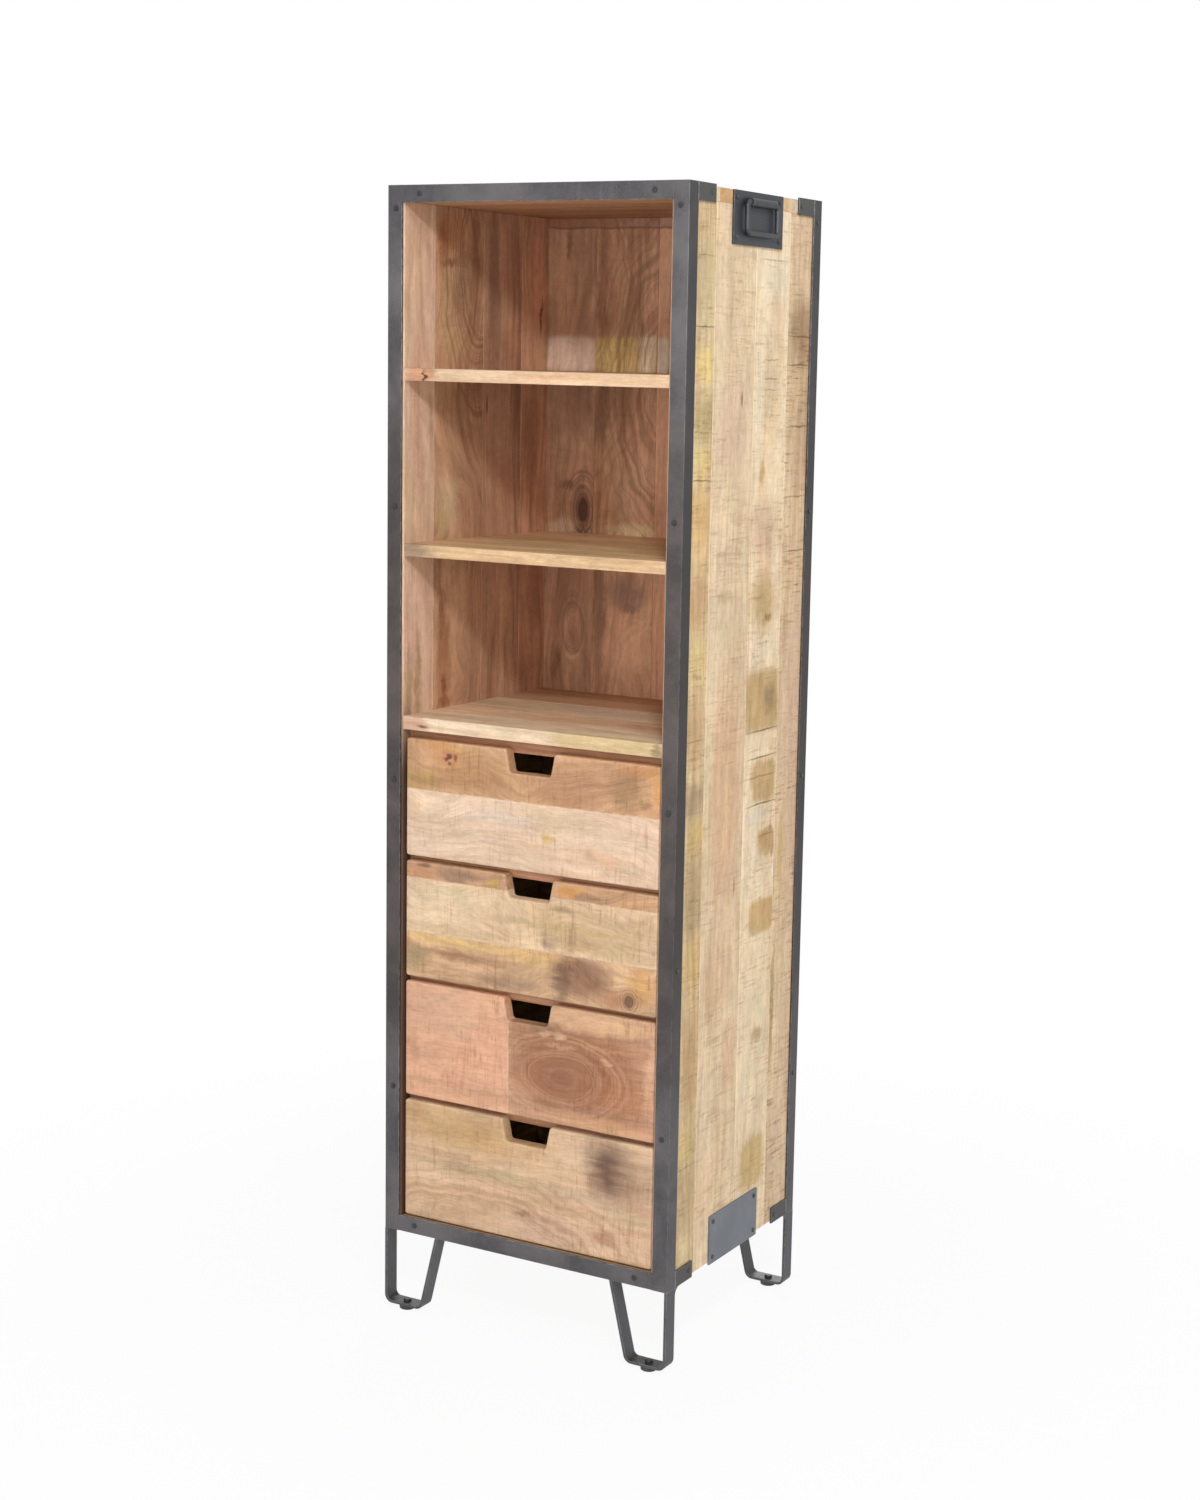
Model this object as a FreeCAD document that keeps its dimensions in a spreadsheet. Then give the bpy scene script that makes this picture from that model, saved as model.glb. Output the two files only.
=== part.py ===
"""Tall narrow bookcase with three open bays above four drawers.

Glued solid-wood boards stand between two welded rings of angle iron, front and
rear, on four bent strap legs. Chest handles hang on both sides.

The frame of the model: origin on the floor under the middle of the bookcase,
+Z up, the drawers open towards -Y. All sizes are in millimetres.
"""
import FreeCAD, Part
import Sketcher
import math
import os
import re

SIZES = {
    # outside of the angle iron frame, and the legs under it
    "frame_width": 500,
    "frame_depth": 405,
    "frame_height": 1573,
    "leg_height": 127,
    # angle iron, and the short flat tabs that brace its corners
    "iron_leg": 25,
    "iron_wall": 3,
    "iron_corner": 1,
    "tab_length": 50,
    "tab_height": 25,
    # boards of the carcass
    "side_thick": 25,
    "top_thick": 20,
    "bottom_thick": 20,
    "back_thick": 15,
    "shelf_thick": 18,
    "deck_thick": 20,
    # drawer fronts, and the gaps around them
    "front_height": 178,
    "front_thick": 19,
    "front_recess": 7,
    "front_round": 2,
    "drawer_gap": 8,
    "lowest_reach": 5,
    "deck_gap": 13,
    "side_gap": 3.5,
    # finger cut-out in the top edge of a drawer front
    "cut_top": 84,
    "cut_bottom": 70,
    "cut_depth": 34.5,
    "cut_round": 4,
    # drawer boxes behind the fronts
    "box_height": 149,
    "box_wall": 12,
    "box_inset": 1,
    "box_back_gap": 12,
    "ply_thick": 6,
    "ply_rise": 8,
    "groove_depth": 6,
    "groove_play": 0.5,
    # cross rails and runners that carry the drawers
    "rail_drop": 7.5,
    "rail_depth": 20,
    "runner_width": 20,
    "runner_height": 20,
    "running_gap": 0.3,
    # strap legs with their glides and the bolts that hold them
    "strap_width": 25,
    "strap_thick": 4,
    "leg_top_reach": 97,
    "leg_foot_reach": 68,
    "leg_bend": 13,
    "glide_radius": 12.5,
    "glide_height": 7,
    "glide_round": 2,
    "bolt_radius": 3,
    "bolt_head_radius": 6,
    "bolt_head_height": 4,
    "bolt_head_round": 2,
    "bolt_depth": 4,
    "bolt_play": 0.1,
    # plates and chest handles on the sides
    "plate_width": 150,
    "plate_height": 75,
    "pivot_drop": 18,
    "pivot_stand": 6,
    "pivot_radius": 6,
    "pivot_length": 74,
    "bail_rod": 3.8,
    "bail_width": 92.4,
    "bail_drop": 43.2,
    "bail_bend": 8,
    "bail_pin": 12,
    "bail_play": 0.1,
    # screws, and where they stand
    "screw_radius": 1.6,
    "screw_length": 16,
    "screw_head_radius": 3.4,
    "screw_head_height": 1.5,
    "screw_head_round": 1,
    "screw_play": 0.1,
    "pilot_extra": 1,
    "screw_edge": 14,
    "screw_stagger": 14,
    "rail_screw_inset": 55,
    "tab_screw_inset": 9,
    "plate_screw_inset": 10,
    # heights of the uprights' screws, as shares of the frame's height
    "share_low": 0.145,
    "share_side": 0.302,
    "share_middle": 0.447,
    "share_upper": 0.706,
    "share_high": 0.979,
}

doc = FreeCAD.newDocument("bookcase")
sheet = doc.addObject("Spreadsheet::Sheet", "Sizes")
for row, (name, value) in enumerate(SIZES.items(), start=1):
    sheet.set("A%d" % row, name)
    sheet.set("B%d" % row, str(value))
    sheet.setAlias("B%d" % row, name)
doc.recompute()

# Places that several pieces share, as formulas of the sheet's cells.
HALF_WIDTH = "(frame_width / 2)"
HALF_DEPTH = "(frame_depth / 2)"
FRAME_TOP = "(leg_height + frame_height)"
PANEL_OUT = "(frame_width / 2 - iron_wall)"
PANEL_IN = "(frame_width / 2 - iron_wall - side_thick)"
PANEL_FOOT = "(leg_height + iron_wall)"
BOARD_EDGE = "(frame_depth / 2 - iron_wall)"
BACK_FACE = f"({BOARD_EDGE} - back_thick)"
TOP_UNDER = f"({FRAME_TOP} - iron_wall - top_thick)"
BOTTOM_TOP = f"({PANEL_FOOT} + bottom_thick)"
DRAWERS = (1, 2, 3, 4)
DRAWER_PITCH = "(front_height + drawer_gap)"
DECK_UNDER = f"({BOTTOM_TOP} + {len(DRAWERS)} * {DRAWER_PITCH} + deck_gap)"
DECK_TOP = f"({DECK_UNDER} + deck_thick)"
BAY_HEIGHT = f"(({TOP_UNDER} - {DECK_TOP} - 2 * shelf_thick) / 3)"

SIDES = {"left": -1, "right": 1}
ENDS = {"front": -1, "rear": 1}
LEVELS = {"bottom": -1, "top": 1}
ALONG_X, ALONG_Y, ALONG_Z = FreeCAD.Vector(1, 0, 0), FreeCAD.Vector(0, 1, 0), FreeCAD.Vector(0, 0, 1)
UNTURNED = FreeCAD.Rotation()

sub_parts = []


# ------------------------------------------------------------------ ways of making
def cells(formula):
    """The formula with each size's name pointing at its cell in the sheet."""
    return re.sub(r"[a-z]\w*", lambda m: "Sizes." + m[0] if m[0] in SIZES else m[0], str(formula))


def bind(thing, prop, formula):
    """Bind a property of the thing to a formula of the sheet's cells."""
    thing.setExpression(prop, cells(formula))


def place(thing, at, turn=UNTURNED):
    """Turn the thing, and bind its place to three formulas."""
    thing.Placement.Rotation = turn
    for axis, formula in zip("xyz", at):
        bind(thing, f"Placement.Base.{axis}", formula)


def new_body(label, at=(0, 0, 0), turn=UNTURNED):
    """An empty body, placed where its own origin lies in the bookcase."""
    body = doc.addObject("PartDesign::Body", label)
    body.Label = label
    place(body, at, turn)
    return body


def piece(label, at=(0, 0, 0), turn=UNTURNED):
    """A new body that is a sub-part of its own."""
    body = new_body(label, at, turn)
    sub_parts.append(body)
    return body


def new_sketch(body, plane, height):
    """A sketch on the body's own XY, XZ or YZ plane, raised along that plane's normal."""
    sketch = body.newObject("Sketcher::SketchObject", "sketch")
    base = [f for f in body.Origin.OriginFeatures if f.Role == plane + "_Plane"][0]
    sketch.AttachmentSupport = [(base, "")]
    sketch.MapMode = "FlatFace"
    bind(sketch, "AttachmentOffset.Base.z", height)
    return sketch


def hold_point(sketch, part, end, point):
    """Hold one point of the sketch at two formulas from the sketch's origin."""
    for kind, formula in zip(("DistanceX", "DistanceY"), point):
        number = sketch.addConstraint(Sketcher.Constraint(kind, -1, 1, part, end, 1.0))
        sketch.setExpression(f"Constraints[{number}]", cells(formula))


def hold_radius(sketch, part, formula):
    """Hold the radius of a circle or an arc of the sketch at a formula."""
    number = sketch.addConstraint(Sketcher.Constraint("Radius", part, 1.0))
    sketch.setExpression(f"Constraints[{number}]", cells(formula))


def outlines(body, plane, loops, height=0):
    """Closed outlines with straight sides, each through its own corners."""
    sketch = new_sketch(body, plane, height)
    for corners in loops:
        first, count = sketch.GeometryCount, len(corners)
        for i in range(count):
            start, end = FreeCAD.Vector(i, i * i, 0), FreeCAD.Vector(i + 1, (i + 1) ** 2, 0)
            sketch.addGeometry(Part.LineSegment(start, end), False)
        for i, corner in enumerate(corners):
            following = first + (i + 1) % count
            sketch.addConstraint(Sketcher.Constraint("Coincident", first + i, 2, following, 1))
            hold_point(sketch, first + i, 1, corner)
    return sketch


def outline(body, plane, corners, height=0):
    """One closed outline with straight sides through the corners."""
    return outlines(body, plane, [corners], height)


def rectangle(x0, y0, x1, y1):
    """The four corners of an upright rectangle."""
    return [(x0, y0), (x1, y0), (x1, y1), (x0, y1)]


def circles(body, plane, centres, radius, height=0):
    """Circles of one radius round the centres."""
    sketch = new_sketch(body, plane, height)
    for i, centre in enumerate(centres):
        sketch.addGeometry(Part.Circle(FreeCAD.Vector(10 * i, 0, 0), ALONG_Z, 1.0), False)
        hold_point(sketch, i, 3, centre)
        hold_radius(sketch, i, radius)
    return sketch


def pad(body, sketch, length, other_way=False, both_ways=False):
    """Grow the sketch along its normal, against it, or half to each side."""
    feature = body.newObject("PartDesign::Pad", "pad")
    feature.Profile = sketch
    feature.Reversed = other_way
    if both_ways:
        feature.SideType = "Symmetric"
    bind(feature, "Length", length)


def pocket(body, sketch, depth, along_normal=False):
    """Cut the sketch out of the body against its normal, and make sure that it cuts."""
    doc.recompute()
    before = body.Shape.Volume
    feature = body.newObject("PartDesign::Pocket", "pocket")
    feature.Profile = sketch
    feature.Reversed = along_normal
    bind(feature, "Length", depth)
    doc.recompute()
    if not body.Shape.Volume < before:
        raise RuntimeError(f"a pocket of {body.Label} cuts nothing")


def fillet(body, radius, is_wanted):
    """Round the edges of the body that the test picks."""
    doc.recompute()
    names = [f"Edge{i}" for i, edge in enumerate(body.Tip.Shape.Edges, start=1) if is_wanted(edge)]
    base = body.Tip
    feature = body.newObject("PartDesign::Fillet", "fillet")
    feature.Base = (base, names)
    bind(feature, "Radius", radius)
    doc.recompute()


def runs_along(edge, direction):
    """Whether the edge is straight and parallel to the direction."""
    if edge.Curve.TypeId != "Part::GeomLine":
        return False
    return edge.Curve.Direction.cross(direction).Length < 1e-6


def board(label, low, high):
    """A rectangular board between two corners, with its own origin at the low one."""
    body = piece(label, low)
    length, width, height = (f"({b}) - ({a})" for a, b in zip(low, high))
    pad(body, outline(body, "XY", rectangle(0, 0, length, width)), height)
    return body


def between(side, near, far):
    """Two formulas for X on one side of the middle, the lower one first."""
    return (f"-{far}", f"-{near}") if side == "left" else (near, far)


def drill_face(body, low, holes, depth, end):
    """Drill holes along Y from a board's front or rear face; holes are X, Z in the bookcase."""
    local = [(f"({x}) - ({low[0]})", f"({z}) - ({low[2]})") for x, z in holes]
    height = "0" if end == "front" else f"{low[1]} - {BOARD_EDGE}"
    pocket(body, circles(body, "XZ", local, PILOT_RADIUS, height), depth, along_normal=end == "rear")


def drill_side(body, low, holes, depth, side, face):
    """Drill holes along X from the face at X on one side; holes are Y, Z in the bookcase."""
    local = [(f"({y}) - ({low[1]})", f"({z}) - ({low[2]})") for y, z in holes]
    height = f"({face}) - ({low[0]})"
    pocket(body, circles(body, "YZ", local, PILOT_RADIUS, height), depth, along_normal=side == "left")


def group(label, copies):
    """Copies of a master body in one node, each with its place and its turn."""
    links = []
    for master, at, turn in copies:
        link = doc.addObject("App::Link", f"{label}_copy")
        link.LinkedObject = master
        place(link, at, turn)
        links.append(link)
    compound = doc.addObject("Part::Compound", label)
    compound.Label = label
    compound.Links = links
    sub_parts.append(compound)


# ---------------------------------------------------------------------- screw plan
PILOT_RADIUS = "(screw_radius + screw_play)"
PILOT_DEPTH = "(screw_length - iron_wall + pilot_extra)"
FACE_SCREW_X = "(frame_width / 2 - screw_edge)"
FLANGE_MIDDLE_Y = "(frame_depth / 2 - iron_leg / 2)"
RAIL_SCREW_X = "(frame_width / 2 - rail_screw_inset)"
FLANGE_EDGE_Y = "(frame_depth / 2 - iron_leg)"
TAB_TIP_Y = f"({FLANGE_EDGE_Y} - tab_length)"
TAB_SCREW_Y = f"({TAB_TIP_Y} + tab_screw_inset)"
PLATE_SCREW_Y = "(plate_width / 2 - plate_screw_inset)"
HANDLE_PLATE_TOP = f"({FRAME_TOP} - iron_wall)"
SHARES = ("share_low", "share_middle", "share_upper", "share_high")
RAIL_SCREW_Z = {
    "top": f"({FRAME_TOP} - iron_leg / 2)",
    "bottom": "(leg_height + iron_leg / 2)",
}
TAB_SCREW_Z = {
    "top": f"({FRAME_TOP} - tab_height / 2)",
    "bottom": "(leg_height + tab_height / 2)",
}
PLATE_SCREW_Z = {
    "handle_upper": f"({HANDLE_PLATE_TOP} - plate_screw_inset)",
    "handle_lower": f"({HANDLE_PLATE_TOP} - plate_height + plate_screw_inset)",
    "lower_upper": "(leg_height + plate_height - plate_screw_inset)",
    "lower_lower": "(leg_height + plate_screw_inset)",
}


def share_height(share):
    """Height above the floor of a share of the frame's height."""
    return f"(leg_height + frame_height * {share})"


def face_screws(side, end):
    """X, Z of the screws through the face flange of one upright."""
    lower = "screw_stagger" if end == "rear" else "0"
    return [(f"{SIDES[side]} * {FACE_SCREW_X}", f"({share_height(s)} - {lower})") for s in SHARES]


def flank_screws(end):
    """Y, Z of the screws through the side flange of one upright."""
    shares = SHARES if end == "rear" else ("share_side",)
    return [(f"{ENDS[end]} * {FLANGE_MIDDLE_Y}", share_height(s)) for s in shares]


def rail_screws(level):
    """X, Z of the two screws through one rail of a ring."""
    return [(f"{sign} * {RAIL_SCREW_X}", RAIL_SCREW_Z[level]) for sign in (-1, 1)]


def tab_screws(level):
    """Y, Z of the screws through the two tabs at one level of a side."""
    return [(f"{sign} * {TAB_SCREW_Y}", TAB_SCREW_Z[level]) for sign in (-1, 1)]


def plate_screws(row):
    """Y, Z of the two screws in one row of a plate."""
    return [(f"{sign} * {PLATE_SCREW_Y}", PLATE_SCREW_Z[row]) for sign in (-1, 1)]


# ---------------------------------------------------------------- angle iron frame
def angle_section(sx, out_x, sy, out_y, leg_x="iron_leg", leg_y="iron_leg"):
    """The L of an angle iron whose outer corner lies on the side of sx and sy."""
    in_x, wall_x = f"{sx} * ({out_x} - {leg_x})", f"{sx} * ({out_x} - iron_wall)"
    in_y, wall_y = f"{sy} * ({out_y} - {leg_y})", f"{sy} * ({out_y} - iron_wall)"
    far_x, far_y = f"{sx} * {out_x}", f"{sy} * {out_y}"
    return [(far_x, far_y), (in_x, far_y), (in_x, wall_y), (wall_x, wall_y), (wall_x, in_y), (far_x, in_y)]


def outermost(body, direction):
    """A test for the one edge along the direction that is farthest from the middle."""
    doc.recompute()
    edges = [e for e in body.Tip.Shape.Edges if runs_along(e, direction)]

    def reach(edge):
        middle = edge.CenterOfMass
        across = [abs(middle[i]) for i in range(3) if abs(direction[i]) < 0.5]
        return sum(across)

    farthest = max(reach(e) for e in edges)
    return lambda edge: runs_along(edge, direction) and reach(edge) > farthest - 1e-3


for end, sy in ENDS.items():
    for side, sx in SIDES.items():
        post = piece(f"{end}_{side}_upright", (0, 0, "leg_height"))
        pad(post, outline(post, "XY", angle_section(sx, HALF_WIDTH, sy, HALF_DEPTH)), "frame_height")
        fillet(post, "iron_corner", outermost(post, ALONG_Z))
        face_holes = [(x, f"{z} - leg_height") for x, z in face_screws(side, end)]
        side_holes = [(y, f"{z} - leg_height") for y, z in flank_screws(end)]
        face = circles(post, "XZ", face_holes, PILOT_RADIUS, f"{-sy} * {HALF_DEPTH}")
        pocket(post, face, "iron_wall", along_normal=sy > 0)
        flank = circles(post, "YZ", side_holes, PILOT_RADIUS, f"{sx} * {HALF_WIDTH}")
        pocket(post, flank, "iron_wall", along_normal=sx < 0)

    for level, sz in LEVELS.items():
        rail = piece(f"{end}_{level}_rail", (0, 0, "leg_height + frame_height / 2"))
        section = angle_section(sy, HALF_DEPTH, sz, "(frame_height / 2)")
        pad(rail, outline(rail, "YZ", section), f"2 * {PANEL_OUT}", both_ways=True)
        fillet(rail, "iron_corner", outermost(rail, ALONG_X))
        # Each end is coped, so that the face flange butts between the uprights.
        face_height = f"{-sy} * {HALF_DEPTH}"
        for sx in SIDES.values():
            cope = rectangle(f"{sx} * ({HALF_WIDTH} - iron_leg)", f"{sz} * (frame_height / 2 - iron_leg)",
                             f"{sx} * {HALF_WIDTH}", f"{sz} * (frame_height / 2)")
            pocket(rail, outline(rail, "XZ", cope, face_height), "iron_wall", along_normal=sy > 0)
        holes = [(x, f"{z} - (leg_height + frame_height / 2)") for x, z in rail_screws(level)]
        face = circles(rail, "XZ", holes, PILOT_RADIUS, face_height)
        pocket(rail, face, "iron_wall", along_normal=sy > 0)

# Short flats run on from the side flanges at the four corners of each side.
for side, sx in SIDES.items():
    tabs = piece(f"{side}_corner_tabs", (f"{sx} * {HALF_WIDTH}", 0, 0))
    tabs.AllowCompound = True
    flats = [rectangle(f"{sy} * {TAB_TIP_Y}", low, f"{sy} * {FLANGE_EDGE_Y}", f"{low} + tab_height")
             for sy in ENDS.values() for low in ("leg_height", f"({FRAME_TOP} - tab_height)")]
    pad(tabs, outlines(tabs, "YZ", flats), "iron_wall", other_way=sx > 0)
    holes = tab_screws("top") + tab_screws("bottom")
    pocket(tabs, circles(tabs, "YZ", holes, PILOT_RADIUS), "iron_wall", along_normal=sx < 0)


# ----------------------------------------------------------------- legs and glides
STRAP_HEIGHT = "(leg_height - glide_height)"
LEG_LEAN = f"((leg_top_reach - leg_foot_reach) / {STRAP_HEIGHT})"
STRAP_SLICE = f"(strap_thick * sqrt(1 + {LEG_LEAN} * {LEG_LEAN}))"
STRAP_FLOOR = f"(strap_thick - {STRAP_HEIGHT})"
FOOT_MIDDLE = "(leg_foot_reach / 2)"
BOLT_HOLE = "(bolt_radius + bolt_play)"


def edges_across(is_height):
    """A test for the edges along Y whose height in the body passes."""
    return lambda edge: runs_along(edge, ALONG_Y) and is_height(edge.CenterOfMass.z)


for end, sy in ENDS.items():
    for side, sx in SIDES.items():
        # The leg's own X runs inwards from the side of the frame.
        turn = FreeCAD.Rotation(ALONG_Z, 180 if side == "right" else 0)
        outer_top = (f"{sx} * {HALF_WIDTH}", f"{sy} * ({HALF_DEPTH} - strap_width / 2)", "leg_height")
        leg = piece(f"{end}_{side}_leg", outer_top, turn)
        loop = [
            (0, 0),
            (0, f"-{STRAP_HEIGHT}"),
            ("leg_foot_reach", f"-{STRAP_HEIGHT}"),
            ("leg_top_reach", 0),
            (f"leg_top_reach - {STRAP_SLICE}", 0),
            (f"leg_foot_reach + {LEG_LEAN} * strap_thick - {STRAP_SLICE}", STRAP_FLOOR),
            ("strap_thick", STRAP_FLOOR),
            ("strap_thick", 0),
        ]
        pad(leg, outline(leg, "XZ", loop), "strap_width", both_ways=True)
        doc.recompute()
        sole, strap = leg.Tip.Shape.BoundBox.ZMin, SIZES["strap_thick"]
        fillet(leg, "leg_bend", edges_across(lambda z: abs(z - sole) < 1e-3))
        fillet(leg, "leg_bend - strap_thick", edges_across(lambda z: abs(z - sole - strap) < 1e-3))
        hole = circles(leg, "XY", [(FOOT_MIDDLE, 0)], BOLT_HOLE, STRAP_FLOOR)
        pocket(leg, hole, "strap_thick")

glide = new_body("glide_master")
pad(glide, circles(glide, "XY", [(0, 0)], "glide_radius"), "glide_height")
fillet(glide, "glide_round", lambda edge: edge.BoundBox.ZMax < 1e-3)
pocket(glide, circles(glide, "XY", [(0, 0)], BOLT_HOLE, "glide_height"), "bolt_depth + bolt_play")

bolt = new_body("bolt_master")
pad(bolt, circles(bolt, "XY", [(0, 0)], "bolt_head_radius"), "bolt_head_height")
fillet(bolt, "bolt_head_round", lambda edge: edge.BoundBox.ZMin > 1e-3 and edge.Closed)
pad(bolt, circles(bolt, "XY", [(0, 0)], "bolt_radius"), "strap_thick + bolt_depth", other_way=True)

feet = [(f"{sx} * ({HALF_WIDTH} - {FOOT_MIDDLE})", f"{sy} * ({HALF_DEPTH} - strap_width / 2)")
        for sx in SIDES.values() for sy in ENDS.values()]
group("foot_glides", [(glide, (x, y, 0), UNTURNED) for x, y in feet])
group("glide_bolts", [(bolt, (x, y, "glide_height + strap_thick"), UNTURNED) for x, y in feet])


# ------------------------------------------------------------------ carcass boards
for side, sx in SIDES.items():
    low_x, high_x = between(side, PANEL_IN, PANEL_OUT)
    low = (low_x, f"-{BOARD_EDGE}", PANEL_FOOT)
    panel = board(f"{side}_side_panel", low, (high_x, BOARD_EDGE, TOP_UNDER))
    for end in ENDS:
        drill_face(panel, low, face_screws(side, end), PILOT_DEPTH, end)
    holes = (flank_screws("front") + flank_screws("rear") + tab_screws("bottom")
             + plate_screws("handle_lower") + plate_screws("lower_upper") + plate_screws("lower_lower"))
    drill_side(panel, low, holes, PILOT_DEPTH, side, f"{sx} * {PANEL_OUT}")

low = (f"-{PANEL_OUT}", f"-{BOARD_EDGE}", TOP_UNDER)
top_board = board("top_board", low, (PANEL_OUT, BOARD_EDGE, f"{FRAME_TOP} - iron_wall"))
for end in ENDS:
    drill_face(top_board, low, rail_screws("top"), PILOT_DEPTH, end)
for side, sx in SIDES.items():
    holes = tab_screws("top") + plate_screws("handle_upper")
    drill_side(top_board, low, holes, PILOT_DEPTH, side, f"{sx} * {PANEL_OUT}")

low = (f"-{PANEL_IN}", f"-{BOARD_EDGE}", PANEL_FOOT)
bottom_board = board("bottom_board", low, (PANEL_IN, BOARD_EDGE, BOTTOM_TOP))
for end in ENDS:
    drill_face(bottom_board, low, rail_screws("bottom"), PILOT_DEPTH, end)

board("back_panel", (f"-{PANEL_IN}", BACK_FACE, BOTTOM_TOP), (PANEL_IN, BOARD_EDGE, TOP_UNDER))

# The three bays are equally high; each board's underside is the ceiling of what is below it.
middle_under = f"({DECK_TOP} + {BAY_HEIGHT})"
upper_under = f"({middle_under} + shelf_thick + {BAY_HEIGHT})"
for label, under, thick in (("drawer_deck", DECK_UNDER, "deck_thick"),
                            ("middle_shelf", middle_under, "shelf_thick"),
                            ("upper_shelf", upper_under, "shelf_thick")):
    board(label, (f"-{PANEL_IN}", f"-{BOARD_EDGE}", under), (PANEL_IN, BACK_FACE, f"{under} + {thick}"))


# ------------------------------------------------- drawers, with their rails and runners
FRONT_FACE = f"({HALF_DEPTH} - front_recess)"
FRONT_HALF = f"({PANEL_IN} - side_gap)"
RAIL_FACE = f"(running_gap + front_thick - {FRONT_FACE})"
RAIL_BACK = f"({RAIL_FACE} + rail_depth)"
BOX_OUT = f"({FRONT_HALF} - box_inset)"
BOX_IN = f"({BOX_OUT} - box_wall)"
BOX_END = f"({BACK_FACE} - box_back_gap + {FRONT_FACE})"
PLY_UNDER = "(running_gap + ply_rise)"
BOX_TOP = "(running_gap + box_height)"


def drawer_floor(number):
    """Height of the underside of a drawer's front; drawer 1 is the topmost."""
    return f"({BOTTOM_TOP} + drawer_gap + {len(DRAWERS) - number} * {DRAWER_PITCH})"


def drawer_front(label, at, low):
    """A front board with a trapezoid finger cut-out in its top edge; low is its lower edge."""
    front = piece(label, at)
    notch = "(front_height - cut_depth)"
    shape = [
        (f"-{FRONT_HALF}", low),
        (FRONT_HALF, low),
        (FRONT_HALF, "front_height"),
        ("cut_top / 2", "front_height"),
        ("cut_bottom / 2", notch),
        ("-cut_bottom / 2", notch),
        ("-cut_top / 2", "front_height"),
        (f"-{FRONT_HALF}", "front_height"),
    ]
    pad(front, outline(front, "XZ", shape), "front_thick", other_way=True)
    doc.recompute()
    half_span = front.Tip.Shape.BoundBox.XMax
    is_cut_corner = (lambda edge: runs_along(edge, ALONG_Y) and abs(edge.CenterOfMass.x) < half_span - 1e-3)
    fillet(front, "cut_round", is_cut_corner)
    fillet(front, "front_round", lambda edge: edge.BoundBox.YMax < 1e-3)
    groove = rectangle(f"-({BOX_IN} + groove_depth)", PLY_UNDER,
                       f"{BOX_IN} + groove_depth", f"{PLY_UNDER} + ply_thick")
    pocket(front, outline(front, "XZ", groove, "-front_thick"), "groove_depth", along_normal=True)


for number in DRAWERS:
    floor = drawer_floor(number)
    name = f"drawer_{number}"
    # The lowest front reaches further down, to just above the bottom rail.
    drawer_front(f"{name}_front", (0, f"-{FRONT_FACE}", floor), "-lowest_reach" if number == DRAWERS[-1] else 0)
    start, end = f"(front_thick - {FRONT_FACE})", f"({BOX_END} - {FRONT_FACE})"
    box_floor, box_top = f"({floor} + running_gap)", f"({floor} + {BOX_TOP})"
    ply_under = f"({floor} + {PLY_UNDER})"
    for side in SIDES:
        low_x, high_x = between(side, BOX_IN, BOX_OUT)
        wall = board(f"{name}_{side}_side", (low_x, start, box_floor), (high_x, end, box_top))
        groove = rectangle(0, "ply_rise", f"{end} - {start}", "ply_rise + ply_thick")
        inner_face = "box_wall" if side == "left" else 0
        pocket(wall, outline(wall, "YZ", groove, inner_face), "groove_depth", along_normal=side == "right")
    ply_top = f"{ply_under} + ply_thick"
    board(f"{name}_back", (f"-{BOX_IN}", f"{end} - box_wall", ply_top), (BOX_IN, end, box_top))
    ply_half = f"({BOX_IN} + groove_depth - groove_play)"
    ply_start = f"({start} - groove_depth + groove_play)"
    board(f"{name}_bottom", (f"-{ply_half}", ply_start, ply_under), (ply_half, end, ply_top))

    # The cross rail behind the front's top edge fills the gap up to the next drawer or the deck.
    rail_top = DECK_UNDER if number == 1 else drawer_floor(number - 1)
    board(f"drawer_rail_{number}", (f"-{PANEL_IN}", RAIL_FACE, f"{floor} + front_height - rail_drop"),
          (PANEL_IN, RAIL_BACK, rail_top))

for side in SIDES:
    strips = piece(f"{side}_runners", (0, 0, 0))
    strips.AllowCompound = True
    low_x, high_x = between(side, f"({PANEL_IN} - runner_width)", PANEL_IN)
    # The lowest strip lies on the bottom board, and is only as high as the gap under the drawer.
    lows = [f"({drawer_floor(number)} - runner_height)" for number in DRAWERS[:-1]] + [BOTTOM_TOP]
    ends = [rectangle(low_x, low, high_x, drawer_floor(number)) for number, low in zip(DRAWERS, lows)]
    section = outlines(strips, "XZ", ends, f"-{RAIL_BACK}")
    pad(strips, section, f"{BACK_FACE} - {RAIL_BACK}", other_way=True)


# -------------------------------------------------------- plates and chest handles
PIN_START = "(pivot_length / 2 - bail_pin)"


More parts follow.
